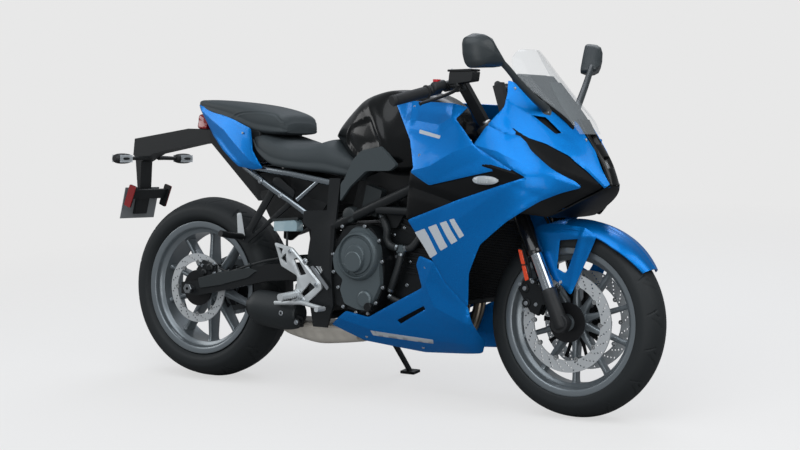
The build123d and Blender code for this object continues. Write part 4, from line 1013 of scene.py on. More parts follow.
def facing(profile, centre, axis, steps=48):
    """Round piece spun about an axis through a centre: profile of (radius, height along it)."""
    axis = np.array(axis, float) / np.linalg.norm(axis)
    first = np.cross(axis, (0, 1, 0) if abs(axis[1]) < 0.9 else (1, 0, 0))
    first /= np.linalg.norm(first)
    second = np.cross(axis, first)
    angle = np.linspace(0, 2 * pi, steps, endpoint=False)[:, None, None]
    r, h = (np.array(profile, float).T[k][None, :, None] for k in (0, 1))
    points = np.array(centre, float) + r * (np.cos(angle) * first + np.sin(angle) * second) + h * axis
    return points.reshape(-1, 3), closed_grid(steps, len(profile), wrap_columns=False)


for x, z, radius in lamp_recesses:
    seat = np.array([x, 0, z]) - lamp_axis * 13
    bowl = [(0.1, 0.5), (radius * 0.5, 1.5), (radius * 0.8, 5), (radius * 0.92, 9), (radius, 9),
            (radius, 0), (0.1, 0)]
    parts.append((*facing(bowl, seat, lamp_axis), reflector))
    ball = [(0.1, 9), (radius * 0.25, 8.4), (radius * 0.42, 6.4), (radius * 0.5, 3.5), (radius * 0.5, 1),
            (0.1, 1)]
    parts.append((*facing(ball, seat, lamp_axis), lamp_glass))
    cover = [(0.1, 12.4), (radius * 0.6, 11.8), (radius * 0.98, 10), (radius * 0.98, 9.2),
             (radius * 0.6, 10.8), (0.1, 11.4)]
    parts.append((*facing(cover, seat, lamp_axis), lamp_glass))
for side in (-1, 1):
    parts.append((*facing([(0.1, 2.4), (3, 2.2), (4, 1), (4, -3), (0.1, -3)], (748, side * 22, 908),
                          lamp_axis, 20), steel_screw))
piece("headlight_unit", parts, "chassis", ["headlight"], sharp=28)


# ---- mirrors ----
# Pods of textured plastic on slim swept stalks, screwed to the nose by a pad; the glass
# faces back in a shallow rim. Satin dark plastic and a silvered mirror.
mirror_glass = material("mirror_glass", "#cfd6da", metallic=1.0, roughness=0.03)
pod_plastic = grain(material("satin_dark_plastic", "#2a3134", roughness=0.42), 0.7, 0.03)


def hose(route, radius, samples=None, sides=16, ease=True):
    """Round bar along a smooth route through points; radius is one value or one for each
    sample, and its section is kept from twisting by carrying it along."""
    path = np.asarray(route, float)
    if ease:
        path = through(route, samples or (len(route) - 1) * 10 + 1)
    ahead = np.gradient(path, axis=0)
    ahead /= np.linalg.norm(ahead, axis=1)[:, None]
    side_way = np.cross(ahead[0], (0, 0, 1) if abs(ahead[0][2]) < 0.9 else (1, 0, 0))
    frames = []
    for direction in ahead:
        side_way = side_way - direction * (side_way @ direction)
        side_way = side_way / np.linalg.norm(side_way)
        frames.append((side_way, np.cross(direction, side_way)))
    a, b = (np.array([f[k] for f in frames])[:, None, :] for k in (0, 1))
    size = (np.ones(len(path)) * radius)[:, None, None]
    angle = np.linspace(0, 2 * pi, sides, endpoint=False)[None, :, None]
    points = path[:, None, :] + size * (np.cos(angle) * a + np.sin(angle) * b)
    return points.reshape(-1, 3), capped_grid(len(path), sides)


pod_outline = [(390, 1147), (384, 1162), (350, 1177), (327, 1172), (299, 1137), (267, 1088), (274, 1076),
               (313, 1074), (363, 1071), (378, 1085), (387, 1111)]
pod_rings = [(0.88, -3), (0.9, -8), (0.97, -10), (1.0, -5), (1.0, 4), (0.95, 20), (0.8, 36), (0.5, 45),
             (0.05, 48)]
glass_rings = [(0.03, -5.5), (0.87, -5.5), (0.87, -2.5), (0.03, -2.5)]


def mirror_rings(rings, side):
    """Closed shell of the outline seen from the front, (y, z): each ring is drawn in to a share of
    it and set a height forward of a plane swept back outwards, x = 578 - 0.3 (y - 262); a
    crease runs from the stalk to the top."""
    y, z = finely(bowed(pod_outline, 8), 5).T
    rows = []
    for share, height in rings:
        across, up = 330 + (y - 330) * share, 1116 + (z - 1116) * share
        crest = 9 * np.clip(1 - distance_to([(264, 1084), (322, 1120), (350, 1172)], across, up) / 34, 0, 1)
        forward = 578 - 0.3 * (across - 262) + height + crest * (height > 5)
        rows.append(np.stack([forward, side * across, up], axis=1))
    return np.concatenate(rows), capped_grid(len(rows), len(y))


parts = []
for side in (-1, 1):
    parts.append((*mirror_rings(pod_rings, side), pod_plastic))
    parts.append((*mirror_rings(glass_rings, side), mirror_glass))
    stalk = [(652, side * 98, 957), (640, side * 140, 985), (622, side * 205, 1034), (606, side * 262, 1082),
             (592, side * 300, 1108)]
    parts.append((*hose(stalk, np.linspace(12, 9, 41), 41), pod_plastic))
    pad = [(618, 980), (654, 940), (672, 936), (668, 956), (640, 984)]
    parts.append((*panel(pad, side, wall=5, depth=-5.6, spacing=6, reach=6), pod_plastic))
    for x, z in ((640, 968), (662, 945)):
        y = fairing_half_width(np.array([x]), np.array([z]))[0]
        parts.append((*round_bar(x, z, side * (y + 4), side * (y + 7), 3.5), steel_screw))
piece("mirrors_moulded", parts, "chassis", ["mirrors"], sharp=40)


# ---- engine ----
# Parallel twin in satin black castings. The clutch side carries a stepped round cover with a
# ring of flange bolts, the other a round one; painted castings show a low, wide sheen.
casting_black = grain(
    material("satin_black_engine_casting", "#171a1c", metallic=0.35, roughness=0.42), 0.6, 0.03)
cover_grey = grain(material("satin_graphite_cover", "#5a6468", metallic=0.45, roughness=0.38), 0.5, 0.02)
hose_rubber = material("matt_hose_rubber", "#1d2123", roughness=0.55)
clamp_steel = material("hose_clamp_steel", "#8d9498", metallic=1.0, roughness=0.3)
solid_copy("engine", casting_black, 4)


def raised(outline, y_low, y_high, inset=4.0, reach=12):
    """Cast plate with rounded corners whose face is drawn in a little, like a mould's draft."""
    low = bowed(outline, reach, 6)
    middle = low.mean(axis=0)
    high = low + (middle - low) / np.linalg.norm(middle - low, axis=1)[:, None] * inset
    return plate(low, y_low, high, y_high)


def hex_bolt(x, z, y, out, size):
    """Plated flange bolt seen end on: a thin washer face and a six-sided head, out from y."""
    outline = circle(x, z, size, 6)
    flange = round_bar(x, z, y, y + out * 1.6, size * 1.35, 0, 20, 0.4)
    head = slab(outline, y - 5.5, y - 1.2) if out < 0 else raised(outline, y + 1.2, y + 5.5, 0.3, 0.1)
    return [(*flange, steel_screw), (*head, steel_screw)]


clutch_side = [(-95, 300), (-112, 420), (-106, 492), (-64, 566), (-8, 574), (48, 566), (86, 520),
               (104, 440), (100, 372), (84, 330), (52, 286), (4, 280), (-58, 292)]
cover_line = [(-20, 563), (26, 565), (67, 534), (88, 500), (93, 422), (97, 380), (76, 336), (50, 290),
              (4, 290), (-50, 306), (-71, 353), (-60, 386), (-96, 417), (-104, 460), (-86, 496), (-60, 525)]
parts = [(*raised(clutch_side, -93, -150, 4, 16), casting_black),
         (*raised(cover_line, -150, -163, 5, 10), cover_grey)]
clutch = [(0.1, 40), (34, 40), (36, 38), (38, 32), (58, 31), (61, 25), (66, 24), (69, 31), (72, 31),
          (76, 27), (80, 18), (84, 6), (84, 0)]
parts.append((*facing(clutch, (6, -150, 470), (0, -1, 0), 96), cover_grey))
parts.append((*facing([(0.1, 46), (30, 46), (33, 44), (35, 40), (35, 30)], (4, -150, 452), (0, -1, 0), 72),
              cover_grey))
for k in range(3):
    turn = radians(200 + 34 * k)
    x, z = 6 + 74 * cos(turn), 470 + 74 * sin(turn)
    parts.append((*hose([(4 + 36 * cos(turn), -182, 452 + 36 * sin(turn)), (x, -168, z)], 3.2, 8, 10),
                  cover_grey))
parts.append((*facing([(0.1, 22), (22, 22), (27, 19), (30, 12), (30, 0)], (34, -150, 330), (0, -1, 0), 56),
              cover_grey))
parts.append((*facing([(0.1, 16), (13, 16), (15, 13), (15, 0)], (52, -160, 306), (0, -1, 0), 40),
              casting_black))
cover_bolts = [(-66, 562), (24, 566), (82, 522), (95, 455), (100, 372), (74, 320), (44, 284), (-4, 284),
               (-56, 300), (-78, 362), (-98, 412), (-102, 470)]
for x, z in cover_bolts:
    parts += [(*round_bar(x, z, -158, -148, 8, 0, 24), casting_black)] + hex_bolt(x, z, -158, -1, 4.2)
sprocket_cover = [(-122, 350), (-132, 440), (-60, 478), (20, 452), (24, 350), (-40, 330)]
generator = [(0.1, 42), (40, 42), (48, 38), (74, 34), (80, 28), (88, 20), (88, 0)]
parts.append((*facing(generator, (70, 107, 400), (0, 1, 0), 96), cover_grey))
parts.append((*round_bar(70, 400, 92.3, 107, 88, 0, 96), casting_black))
parts.append((*raised(sprocket_cover, 116, 126, 3, 12), casting_black))
for k in range(8):
    turn = radians(45 * k + 12)
    parts += hex_bolt(70 + 82 * cos(turn), 400 + 82 * sin(turn), 122, 1, 4.2)
cylinder_side = [(124, 560), (168, 692), (287, 646), (240, 520)]
for side in (-1, 1):
    parts.append((*slab(bowed(cylinder_side, 8), side * 92.3, side * 98), casting_black))
    for x, z in ((140, 566), (176, 678), (270, 638), (230, 536)):
        parts += hex_bolt(x, z, side * 98, side, 4)
for k in range(5):
    z = 575 + 17 * k
    parts.append((*slab([(128 + 5.5 * k, z), (246 + 6 * k, z - 38), (248 + 6 * k, z - 32),
                         (130 + 5.5 * k, z + 6)], -104, -98), casting_black))
piece("engine_covers_cast", parts, "chassis", ["engine_covers"], bevel=0.7, sharp=28)

# ---- engine side details ----
# What shows between the covers and the cowl: sensor box, breather, a coolant pump and rubber
# hoses with worm clamps, over cast ribs and bolts.
breather = [(0.1, 30), (18, 30), (24, 27), (27, 20), (27, 0)]
parts = [(*raised([(-3, 704), (64, 685), (40, 592), (-24, 611)], -92, -118, 4, 8), dark_abs),
         (*facing(breather, (-44, -128, 600), (0, -1, 0), 48), dark_abs)]
thermostat = [(40, 640), (110, 660), (150, 610), (120, 560), (60, 560)]
parts.append((*raised(thermostat, -92, -112, 4, 8), casting_black))
coolant_runs = [
    ([(60, -112, 604), (76, -118, 580), (86, -120, 556), (84, -118, 526), (100, -116, 505),
      (132, -114, 498)], 13),
    ([(150, -112, 498), (178, -110, 505), (205, -104, 540), (230, -100, 585)], 12),
    ([(142, -116, 486), (138, -122, 450), (122, -124, 400), (104, -120, 358)], 12),
    ([(96, -118, 346), (120, -112, 330), (160, -104, 322), (215, -98, 330)], 10)]
for route, radius in coolant_runs:
    parts.append((*hose(route, radius), hose_rubber))
    for start, ahead in ((route[0], route[1]), (route[-1], route[-2])):
        away = np.subtract(ahead, start)
        centre = np.add(start, away / np.linalg.norm(away) * 7)
        band = [(radius, -4), (radius + 1.2, -4), (radius + 1.2, 4), (radius, 4)]
        parts.append((*facing(band, centre, away, 28), clamp_steel))
parts.append((*facing([(0.1, 8), (15, 8), (17, 5), (17, -5), (15, -8), (0.1, -8)], (141, -116, 494),
                      (0, -1, 0.1), 36), cover_grey))
for x, z in ((108, 470), (160, 455), (150, 380), (182, 560), (200, 470), (96, 540)):
    parts += hex_bolt(x, z, -92.5, -1, 4.5)
for k in range(6):
    z = 420 + 16 * k
    parts.append((*slab([(150, z), (236, z - 6), (236, z - 1), (150, z + 5)], -98, -92.2), casting_black))
piece("engine_side_details", parts, "chassis", bevel=0.5, sharp=28)


# ---- frame ----
# Steel frame in semi-gloss black paint, with graphite covers of moulded plastic over its
# side plates.
frame_black = grain(material("semi_gloss_frame_black", "#1b1e20", metallic=0.3, roughness=0.4), 0.6, 0.02)
solid_copy("main_frame", frame_black, 3)
frame_cover = [(-64, 713), (-30, 782), (4, 813), (85, 828), (150, 768), (124, 749), (32, 746), (-36, 692),
               (-76.6, 640), (-76.6, 700)]
cover_plastic = grain(material("graphite_plastic", "#3a4245", roughness=0.45), 0.8, 0.03)
parts = [(*raised(frame_cover, side * 151.8, side * 163, 4, 9), cover_plastic) for side in (-1, 1)]
piece("frame_covers_moulded", parts, "chassis", ["frame_covers"], bevel=1.4, sharp=25)


# ---- subframe ----
# Drawn steel tube, bent, welded and bolted to the frame by turned eyes; left bright, it
# shows long clear highlights.
bright_tube = material("bright_drawn_tube", "#99a1a7", metallic=1.0, roughness=0.24)
rail_y = 140
parts = []
for side in (-1, 1):
    top_rail = [(-88, side * rail_y, 697), (-190, side * rail_y, 711), (-300, side * rail_y, 727),
                (-400, side * 134, 737), (-500, side * 124, 749), (-560, side * 106, 780),
                (-620, side * 84, 814)]
    low_rail = [(-208, side * rail_y, 588), (-300, side * rail_y, 637), (-400, side * 138, 688),
                (-505, side * 126, 746)]
    parts.append((*hose(top_rail, 11, 61, 20), bright_tube))
    parts.append((*hose(low_rail, 11, 31, 20), bright_tube))
    parts.append((*hose([(-182, side * rail_y, 704), (-266, side * rail_y, 641)], 8, 4, 16), bright_tube))
    for x, z in ((-100, 698), (-204, 592)):
        parts.append((*round_bar(x, z, side * (rail_y - 12), side * (rail_y + 13), 15, 5, 40), bright_tube))
        parts += hex_bolt(x, z, side * (rail_y + 12), side, 6.5)
    for x, z in ((-330, 652), (-416, 697)):
        parts.append((*round_bar(x, z, side * rail_y, side * (rail_y + 13), 8, 0, 28), bright_tube))
parts.append((*hose([(-500, -126, 748), (-500, 126, 748)], 9, 4), bright_tube))
piece("rear_subframe_tubes", parts, "chassis", ["rear_subframe"], sharp=40)


# ---- swingarm ----
# Cast arm in satin black, with a raised panel, a chain guard, the rear brake's line in clips
# and its clear fluid reservoir.
reservoir_clear = material("reservoir_clear", "#a9c3cc", roughness=0.25, Alpha=0.75)
solid_copy("swingarm", casting_black, 6)
arm_panel = [(-700, 352), (-612, 378), (-470, 402), (-434, 394), (-470, 368), (-590, 334), (-690, 318)]
parts = [(*raised(arm_panel, -132, -137.5, 5, 8), dark_abs)]
chain_guard = [(-250, 434), (-420, 424), (-560, 408), (-560, 420), (-420, 440), (-250, 448)]
parts.append((*slab(bowed(chain_guard, 3), 96, 124), dark_abs))
line = [(-322, -118, 540), (-316, -128, 500), (-312, -134, 460), (-330, -136, 444), (-400, -131, 430),
        (-480, -129, 408), (-560, -128, 384), (-612, -122, 392)]
parts.append((*hose(line, 4, 71, 12), hose_rubber))
for x, z in ((-352, 438), (-470, 412), (-560, 386)):
    parts.append((*facing([(4, -4), (6.5, -4), (6.5, 4), (4, 4)], (x, -130, z), (-0.96, 0, -0.27), 20),
                  dark_abs))
parts.append((*raised([(-374, 530), (-374, 565), (-282, 574), (-272, 560), (-272, 534)], -98, -130, 2, 8),
              reservoir_clear))
parts.append((*slab(bowed([(-378, 572), (-270, 582), (-268, 574), (-376, 564)], 2), -132, -96), dark_abs))
piece("swingarm_dressing", parts, "chassis", bevel=0.8, sharp=28)


# ---- exhaust ----
# Two heat-tinted stainless headers into a stamped collector pan of pale steel, and a short
# muffler in heat-proof matt black with a stepped end.
header_steel = material("heat_tinted_header", "#9a8f80", metallic=1.0, roughness=0.3)
pan_steel = grain(material("stamped_pan_steel", "#dad4c9", metallic=0.25, roughness=0.42), 2.2, 0.05)
matt_black = grain(material("heatproof_matt_black", "#24292b", metallic=0.2, roughness=0.5), 0.6, 0.03)
parts = []
for y in (-48, 48):
    header = [(266, y, 561), (310, y, 556), (340, y, 530), (346, y, 470), (346, y, 380),
              (338, y * 0.95, 300), (312, y * 0.85, 240), (260, y * 0.75, 212), (180, y * 0.66, 203),
              (60, y * 0.62, 200), (-62, y * 0.62, 200)]
    parts.append((*hose(header, 20, 101, 28), header_steel))
    parts.append((*facing([(20, 0), (27, 0), (27, 10), (20, 10)], (267, y, 561), (1, 0, -0.15), 36),
                  header_steel))
pan_stations = [(-60.3, 70, 178, 228), (-140, 78, 168, 228), (-222, 82, 162, 229), (-300, 80, 172, 230),
                (-360, 72, 184, 231), (-388, 58, 196, 230)]
pan = [[(x, -half - 6, z_high), (x, -half - 8, (z_low + z_high) / 2), (x, -half * 0.8, z_low),
        (x, 0, z_low - 2), (x, half * 0.8, z_low), (x, half, (z_low + z_high) / 2), (x, half, z_high),
        (x, 0, z_high + 1)] for x, half, z_low, z_high in pan_stations]
points, faces = skin(pan, 12, 5)
for k in range(6):
    away = np.hypot(points[:, 0] + 110 + 42 * k, points[:, 2] - 192 + 4 * (k % 2))
    points[:, 1] += np.where(points[:, 1] < -40, 5 * np.clip(1 - (away / 13) ** 2, 0, 1), 0)
parts.append((points, faces, pan_steel))
piece("exhaust_pipes_bent", parts, "chassis", ["exhaust_pipes"], sharp=40)


def boxed(x, y_low, y_high, z_low, z_high):
    """Rounded rectangular section across x: eight corners, each cut by a share of the size."""
    cy, cz = (y_high - y_low) * 0.32, (z_high - z_low) * 0.32
    return [(x, y_low + cy, z_low), (x, y_high - cy, z_low), (x, y_high, z_low + cz),
            (x, y_high, z_high - cz), (x, y_high - cy, z_high), (x, y_low + cy, z_high),
            (x, y_low, z_high - cz), (x, y_low, z_low + cz)]


can = [boxed(-250, -164, -100, 222, 296), boxed(-262, -169, -96, 214, 308), boxed(-300, -172, -94, 208, 318),
       boxed(-360, -173, -93, 210, 323), boxed(-420, -172, -94, 217, 325), boxed(-446, -168, -98, 228, 318)]
tip = [boxed(-446, -160, -104, 238, 308), boxed(-462, -158, -106, 240, 304)]
parts = [(*skin(can, 8, 5), matt_black), (*skin(tip, 4, 5), casting_black)]
parts.append((*round_bar(-300, 262, -176, -170, 9, 4, 28), steel_screw))
parts.append((*round_bar(-234, 236, -176, -150, 13, 6, 36), casting_black))
parts += hex_bolt(-234, 236, -176, -1, 6)
parts.append((*slab(bowed([(-254, 226), (-222, 218), (-218, 252), (-252, 262)], 6), -158, -150),
              casting_black))
piece("muffler_welded", parts, "chassis", ["muffler"], bevel=0.8, sharp=35)


# ---- bars and controls ----
# Clip-on bars with ribbed rubber grips and weights at their ends; each side has a moulded
# switch box and a lever on a clamp, the right one also a red stop switch and a reservoir.
bar_inner, bar_outer = np.array([352.0, 106, 1036]), np.array([266.0, 358, 971])
red_switch = material("red_switch", "#c2202a", roughness=0.4)
grip_rubber = grain(material("ribbed_grip_rubber", "#1a1c1e", roughness=0.7), 0.7, 0.04)
switch_section = [(-16, -12), (-2, -17), (14, -12), (18, 2), (12, 15), (-4, 18), (-16, 12), (-19, 0)]
solid_copy("handlebars", satin_black, 1.5)
parts, grips = [], []
for side in (-1, 1):
    start = bar_inner * (1, side, 1)
    along = (bar_outer - bar_inner) * (1, side, 1)
    length = np.linalg.norm(along)
    way = along / length
    ribs = [(16.7 + (0.9 if k % 2 else 0), length * (0.54 + 0.0145 * k)) for k in range(30)]
    flange = [(12, length * 0.515), (21, length * 0.517), (21, length * 0.53), (17, length * 0.535)]
    weight = [(17, length * 0.975), (14, length * 0.978), (14, length * 0.982), (17.5, length * 0.985),
              (17.6, length * 1.014), (15, length * 1.026), (0.1, length * 1.026)]
    grips.append((*facing(flange + ribs + weight, start, along, 36), grip_rubber))
    box = [(11.4, length * 0.33), (15, length * 0.33), (17.8, length * 0.35), (17.8, length * 0.47),
           (15.5, length * 0.495), (11.4, length * 0.495)]
    parts.append((*facing(box, start, along, 40), plastic))
    lump = start + along * 0.41 + np.array([12, 0, 10])
    switch = [[lump + way * w + np.array([0.83 * a, side * 0.2 * a, b]) * share for a, b in switch_section]
              for w, share in ((-26, 0.62), (-20, 0.92), (0, 1.0), (16, 0.94), (22, 0.66))]
    parts.append((*skin(switch, 5, 4), plastic))
    perch = start + along * 0.21
    clamp = [(11.4, -14), (16.8, -14), (16.8, 14), (11.4, 14)]
    parts.append((*facing(clamp, perch, along, 32), satin_black))
    root = perch + np.array([45, side * 12, -4])
    parts.append((*hose([perch + np.array([8, 0, 0]), (perch + root) / 2, root], np.linspace(11, 12.5, 12),
                        12, 20), satin_black))
    lever = [root, perch + np.array([54, side * 40, -14]), perch + np.array([54, side * 85, -28]),
             perch + np.array([44, side * 130, -42]), perch + np.array([28, side * 168, -54]),
             perch + np.array([20, side * 185, -60])]
    sizes = np.interp(np.linspace(0, 1, 51), [0, 0.2, 0.75, 0.93, 1], [8, 6.2, 5, 5, 6.8])
    parts.append((*hose(lever, sizes, 51, 14), satin_black))
    parts.append((*facing([(0.1, 14), (7, 14), (9, 12), (9, -14), (0.1, -14)], root, (-0.3, 0, 1), 28),
                  satin_black))
stop = bar_inner * (1, -1, 1) + (bar_outer - bar_inner) * (1, -1, 1) * 0.41 + np.array([8, 0, 27])
parts.append((*skin([[stop + (a, b, h) for a, b in ((-8, -10), (8, -10), (8, 10), (-8, 10))]
                     for h in (-3, 1, 5)], 2, 3), red_switch))
cup = [(346, 1026), (432, 1038), (436, 1068), (350, 1066)]
parts.append((*slab(bowed(cup, 4), -178, -132), plastic))
parts.append((*slab(bowed([(344, 1066), (434, 1069), (434, 1076), (344, 1073)], 3), -180, -130), satin_black))
for x, y in ((356, -172), (356, -138), (424, -172), (424, -138)):
    parts.append((*facing([(0.1, 1.6), (2.4, 1.6), (3, 0.6), (3, -1), (0.1, -1)],
                          (x, y, 1074 + (x - 356) * 0.034), (0, 0, 1), 16), steel_screw))
parts.append((*hose([(386, -152, 1030), (388, -140, 1012), (372, -128, 1012), (352, -120, 1030)], 5, 31,
                    12), hose_rubber))
piece("hand_controls_moulded", parts, "steering", ["hand_controls"], bevel=0.6, sharp=35)
piece("grips_ribbed", grips, "steering", sharp=40)


# ---- instruments ----
# Dark display in a slim housing on a stay, and the black inner panel that shows through the
# lower half of the screen; all of it is blank.
display_glass = material("dark_display_glass", "#0a0d10", roughness=0.06, Coat_Weight=1.0,
                         Coat_Roughness=0.02)
parts = [(*slab(bowed([(560, 985), (588, 1000), (548, 1066), (520, 1050)], 6), -85, 85), plastic)]
parts.append((*slab([(556, 990), (558.6, 991.4), (524, 1050), (521.4, 1048.6)], -76, 76), display_glass))
parts.append((*slab([(560, 985), (585, 1000), (602, 850.5), (575, 850.5)], -25, 25), frame_black))
parts.append((*slab([(520, 826), (520, 792), (600, 802), (733, 833), (716, 860), (600, 848)], -27, 27),
              frame_black))
inner_levels = [(890, 756, 50, 10), (930, 730, 56, 14), (975, 694, 52, 14), (1012, 664, 42, 12),
                (1040, 640, 34, 9)]
rows = through(np.array(inner_levels, float), 33)
sheet = np.array([[(x - back * s * s, half * s, z) for s in np.linspace(-1, 1, 17)]
                  for z, x, half, back in rows])
shell = np.concatenate([sheet, (sheet - (4, 0, 2))[::-1]])
parts.append((shell, capped_grid(*shell.shape[:2], True), dark_abs))
for side in (-1, 1):
    parts.append((*hose([(560, side * 24, 1000), (600, side * 26, 985), (640, side * 26, 985),
                         (684, side * 24, 972)], 5, 21, 10), frame_black))
piece("instrument_panel_fitted", parts, "chassis", ["instrument_panel"], bevel=0.8, sharp=30)


# ---- indicators ----
# Small lamps with moulded clear lenses over dark inner shells: in front let into the cowl,
# behind on short stems. Clear plastic shows a crisp glint.
clear_lens = material("clear_indicator_lens", "#d7dee2", roughness=0.08, Alpha=0.55, Coat_Weight=1.0,
                      Coat_Roughness=0.02)
parts = []
for side in (-1, 1):
    for half, depth, finish in ((1.0, 0.0, clear_lens), (0.72, 4.0, dark_abs)):
        sections = []
        for x, wide, high in ((482, 5, 4), (490, 10, 9), (506, 16, 12.5), (530, 18, 14), (552, 15, 12),
                              (566, 9, 8), (573, 3, 3)):
            mid, w, h = 231 + wide * half / 2 + depth, wide * half / 2, high * half
            sections.append([(525 + (x - 525) * half, side * (mid + w * cos(radians(a))),
                              733 + h * sin(radians(a))) for a in range(0, 360, 45)])
        parts.append((*skin(sections, 6, 4), finish))
    for k in range(5):
        rib = [(504 + 9 * k, 725), (507 + 9 * k, 725), (509 + 9 * k, 741), (506 + 9 * k, 741)]
        parts.append((*slab(rib, side * 245.5, side * 248.5), clear_lens))
    parts.append((*round_bar(523, 732, side * 225, side * 233, 11, 0, 28), dark_abs))
    stem = [(-1032, side * 30, 759), (-1032, side * 60, 759), (-1031, side * 96, 758),
            (-1031, side * 126, 757)]
    parts.append((*hose(stem, np.linspace(8, 6.5, 31), 31, 16), plastic))
    sections = []
    for y, wide, high in ((120, 8, 8), (128, 17, 15), (150, 21, 18), (178, 21, 18), (196, 17, 15),
                          (205, 9, 8)):
        sections.append([(-1030 + wide * cos(radians(a)), side * y, 757 + high * sin(radians(a)))
                         for a in range(0, 360, 45)])
    parts.append((*skin(sections, 6, 4), plastic))
    for x in (-1049, -1011):
        window = [(x - 1.5, 744), (x + 1.5, 744), (x + 1.5, 770), (x - 1.5, 770)]
        parts.append((*slab(window, side * 132, side * 194), clear_lens))
piece("indicators_lensed", parts, "chassis", ["indicators"], sharp=40)


# ---- front reflectors ----
# Orange reflectors, two moulded cells on a black backing each, clipped to the fork's sides.
# The plastic is a deep glossy orange.
orange_lens = material("orange_reflector", "#e0430f", roughness=0.22, Coat_Weight=1.0, Coat_Roughness=0.05)
bar = np.array([(594, 522), (606, 519), (634, 430), (622, 425)])
back = bar + [(-2, 3), (2, 3), (2, -3), (-2, -3)]
rear_edge, front_edge = bar[3] - bar[0], bar[2] - bar[1]
parts = []
for side in (-1, 1):
    for start, end in ((0.0, 0.48), (0.52, 1.0)):
        cell = [bar[0] + rear_edge * start, bar[1] + front_edge * start, bar[1] + front_edge * end,
                bar[0] + rear_edge * end]
        parts.append((*slab(bowed(cell, 3), side * 136, side * 141), orange_lens))
    parts.append((*slab(bowed(back, 3), side * 133, side * 137), plastic))
piece("front_reflectors_set", parts, "steering", bevel=0.8)


# ---- tail lamp ----
# Red lens in one moulding, rounded off behind, with five raised bars; the deep red shows a
# hard gloss.
red_lens = material("red_lens", "#8c0b10", roughness=0.18, Coat_Weight=1.0, Coat_Roughness=0.05)
lamp_rib = material("lamp_rib", "#7d0a0e", roughness=0.2)
lamp_stations = [(-752, 34, 868, 904), (-772, 33, 868, 914), (-790, 30, 869, 918), (-798, 26, 872, 914),
                 (-803, 20, 880, 902)]
lens = [[(x, -half, low), (x, -half, (low + high) / 2), (x, -half * 0.8, high), (x, half * 0.8, high),
         (x, half, (low + high) / 2), (x, half, low)] for x, half, low, high in lamp_stations]
parts = [(*skin(lens, 6, 5), red_lens)]
for k in range(5):
    z = 876 + 7 * k
    parts.append((*hose([(-794, -24, z), (-799, -12, z), (-799, 12, z), (-794, 24, z)], 2.0, 13, 8),
                  lamp_rib))
piece("tail_lamp_lensed", parts, "chassis", ["tail_lamp"], sharp=40)


# ---- plate and tail ----
# Blank plate of painted sheet on a moulded undertail, held by two screws, with a red
# reflector on each side. The paint is a plain mid grey.
plate_metal = material("plain_plate_paint", "#8d9193", metallic=0.2, roughness=0.45)
parts = [(*slab([(-1078, 652), (-1081, 652), (-1106, 540), (-1103, 540)], -90, 90), plate_metal)]
for side in (-1, 1):
    plate_screw = [(0.1, 3), (3.4, 2.6), (4.4, 1), (4.4, -1), (0.1, -1)]
    parts.append((*facing(plate_screw, (-1083.5, side * 60, 636), (-1, 0, -0.22), 20), steel_screw))
piece("number_plate_blank", parts, "chassis", ["number_plate"], bevel=0.8)
plaque = bowed([(-1053, 665), (-1023, 656), (-1052, 580), (-1080, 590)], 5)
parts = [(*slab(plaque, side * 94, side * 98), red_lens) for side in (-1, 1)]
piece("side_reflectors_rear", parts, "chassis", bevel=1)
parts = [(*slab(plaque, side * 90, side * 93.5), plastic) for side in (-1, 1)]
parts.append((*slab([(-1046, 648), (-1038, 644), (-1052, 612), (-1060, 616)], -90, 90), plastic))
piece("side_reflector_arms", parts, "chassis", bevel=0.8)
solid_copy("undertail", plastic, 3)


# ---- splash guards, airbox and tray ----
# Plain black mouldings in the middle of the machine: a guard on each side of the shock, the
# airbox under the tank, the shroud before the wheel and the tray under the seats.
guard = [(-467, 646), (-414, 560), (-300, 564), (-251, 540), (-223, 574), (-170, 643), (-116, 689),
         (-425, 723)]
parts = [(*slab(bowed(guard, 9), side * 84, side * 89), plastic) for side in (-1, 1)]
piece("splash_guard_sides", parts, "chassis", bevel=0.8, sharp=30)
airbox = [(-100, 610), (-70, 712), (40, 752), (140, 760), (230, 740), (230, 650), (110, 630), (-40, 590)]
tray = [(-498, 770), (-498, 868), (-452, 866), (-430, 790), (-430, 764)]
shroud = [(-350, 296), (-350, 350), (-262, 372), (-300, 545), (-240, 560), (-110, 450), (-95, 268),
          (-185, 262)]
parts = [(*slab(bowed(outline, reach), -half, half), plastic)
         for outline, reach, half in ((airbox, 12, 62), (shroud, 9, 34), (tray, 6, 118))]
piece("airbox_tray_and_shroud", parts, "chassis", bevel=2)


# ---- footrests and pedals ----
# Cast aluminium brackets with lightening windows, ribbed pegs and pedals, bolted to the
# frame; the rear pegs hang from black ones. Bare castings are pale and softly grained.
bare_cast = grain(material("bare_cast_aluminium", "#d3d8da", metallic=0.5, roughness=0.36), 0.7, 0.03)
solid_copy("foot_pedals", bare_cast, 1.0)
bracket_face = 169.9
bracket = [(-336, 496), (-262, 482), (-140, 372), (-138, 352), (-200, 300), (-247, 303), (-253, 322),
           (-243, 342), (-238, 390), (-308, 420)]
windows = [[(-320, 482), (-300, 477), (-306, 456)], [(-309, 445), (-286, 464), (-284, 428)],
           [(-256, 446), (-240, 450), (-202, 398), (-226, 392)],
           [(-186, 372), (-164, 357), (-212, 320), (-222, 332)]]
hanger = [(-288, 668), (-300, 622), (-490, 484), (-524, 490), (-522, 540), (-506, 544), (-494, 530),
          (-392, 680), (-378, 712), (-354, 712)]
hanger_window = [[(-308, 640), (-366, 672), (-468, 524), (-464, 516)]]
heel_plate = [(-524, 500), (-530, 584), (-512, 588), (-494, 506), (-500, 494)]
parts = []
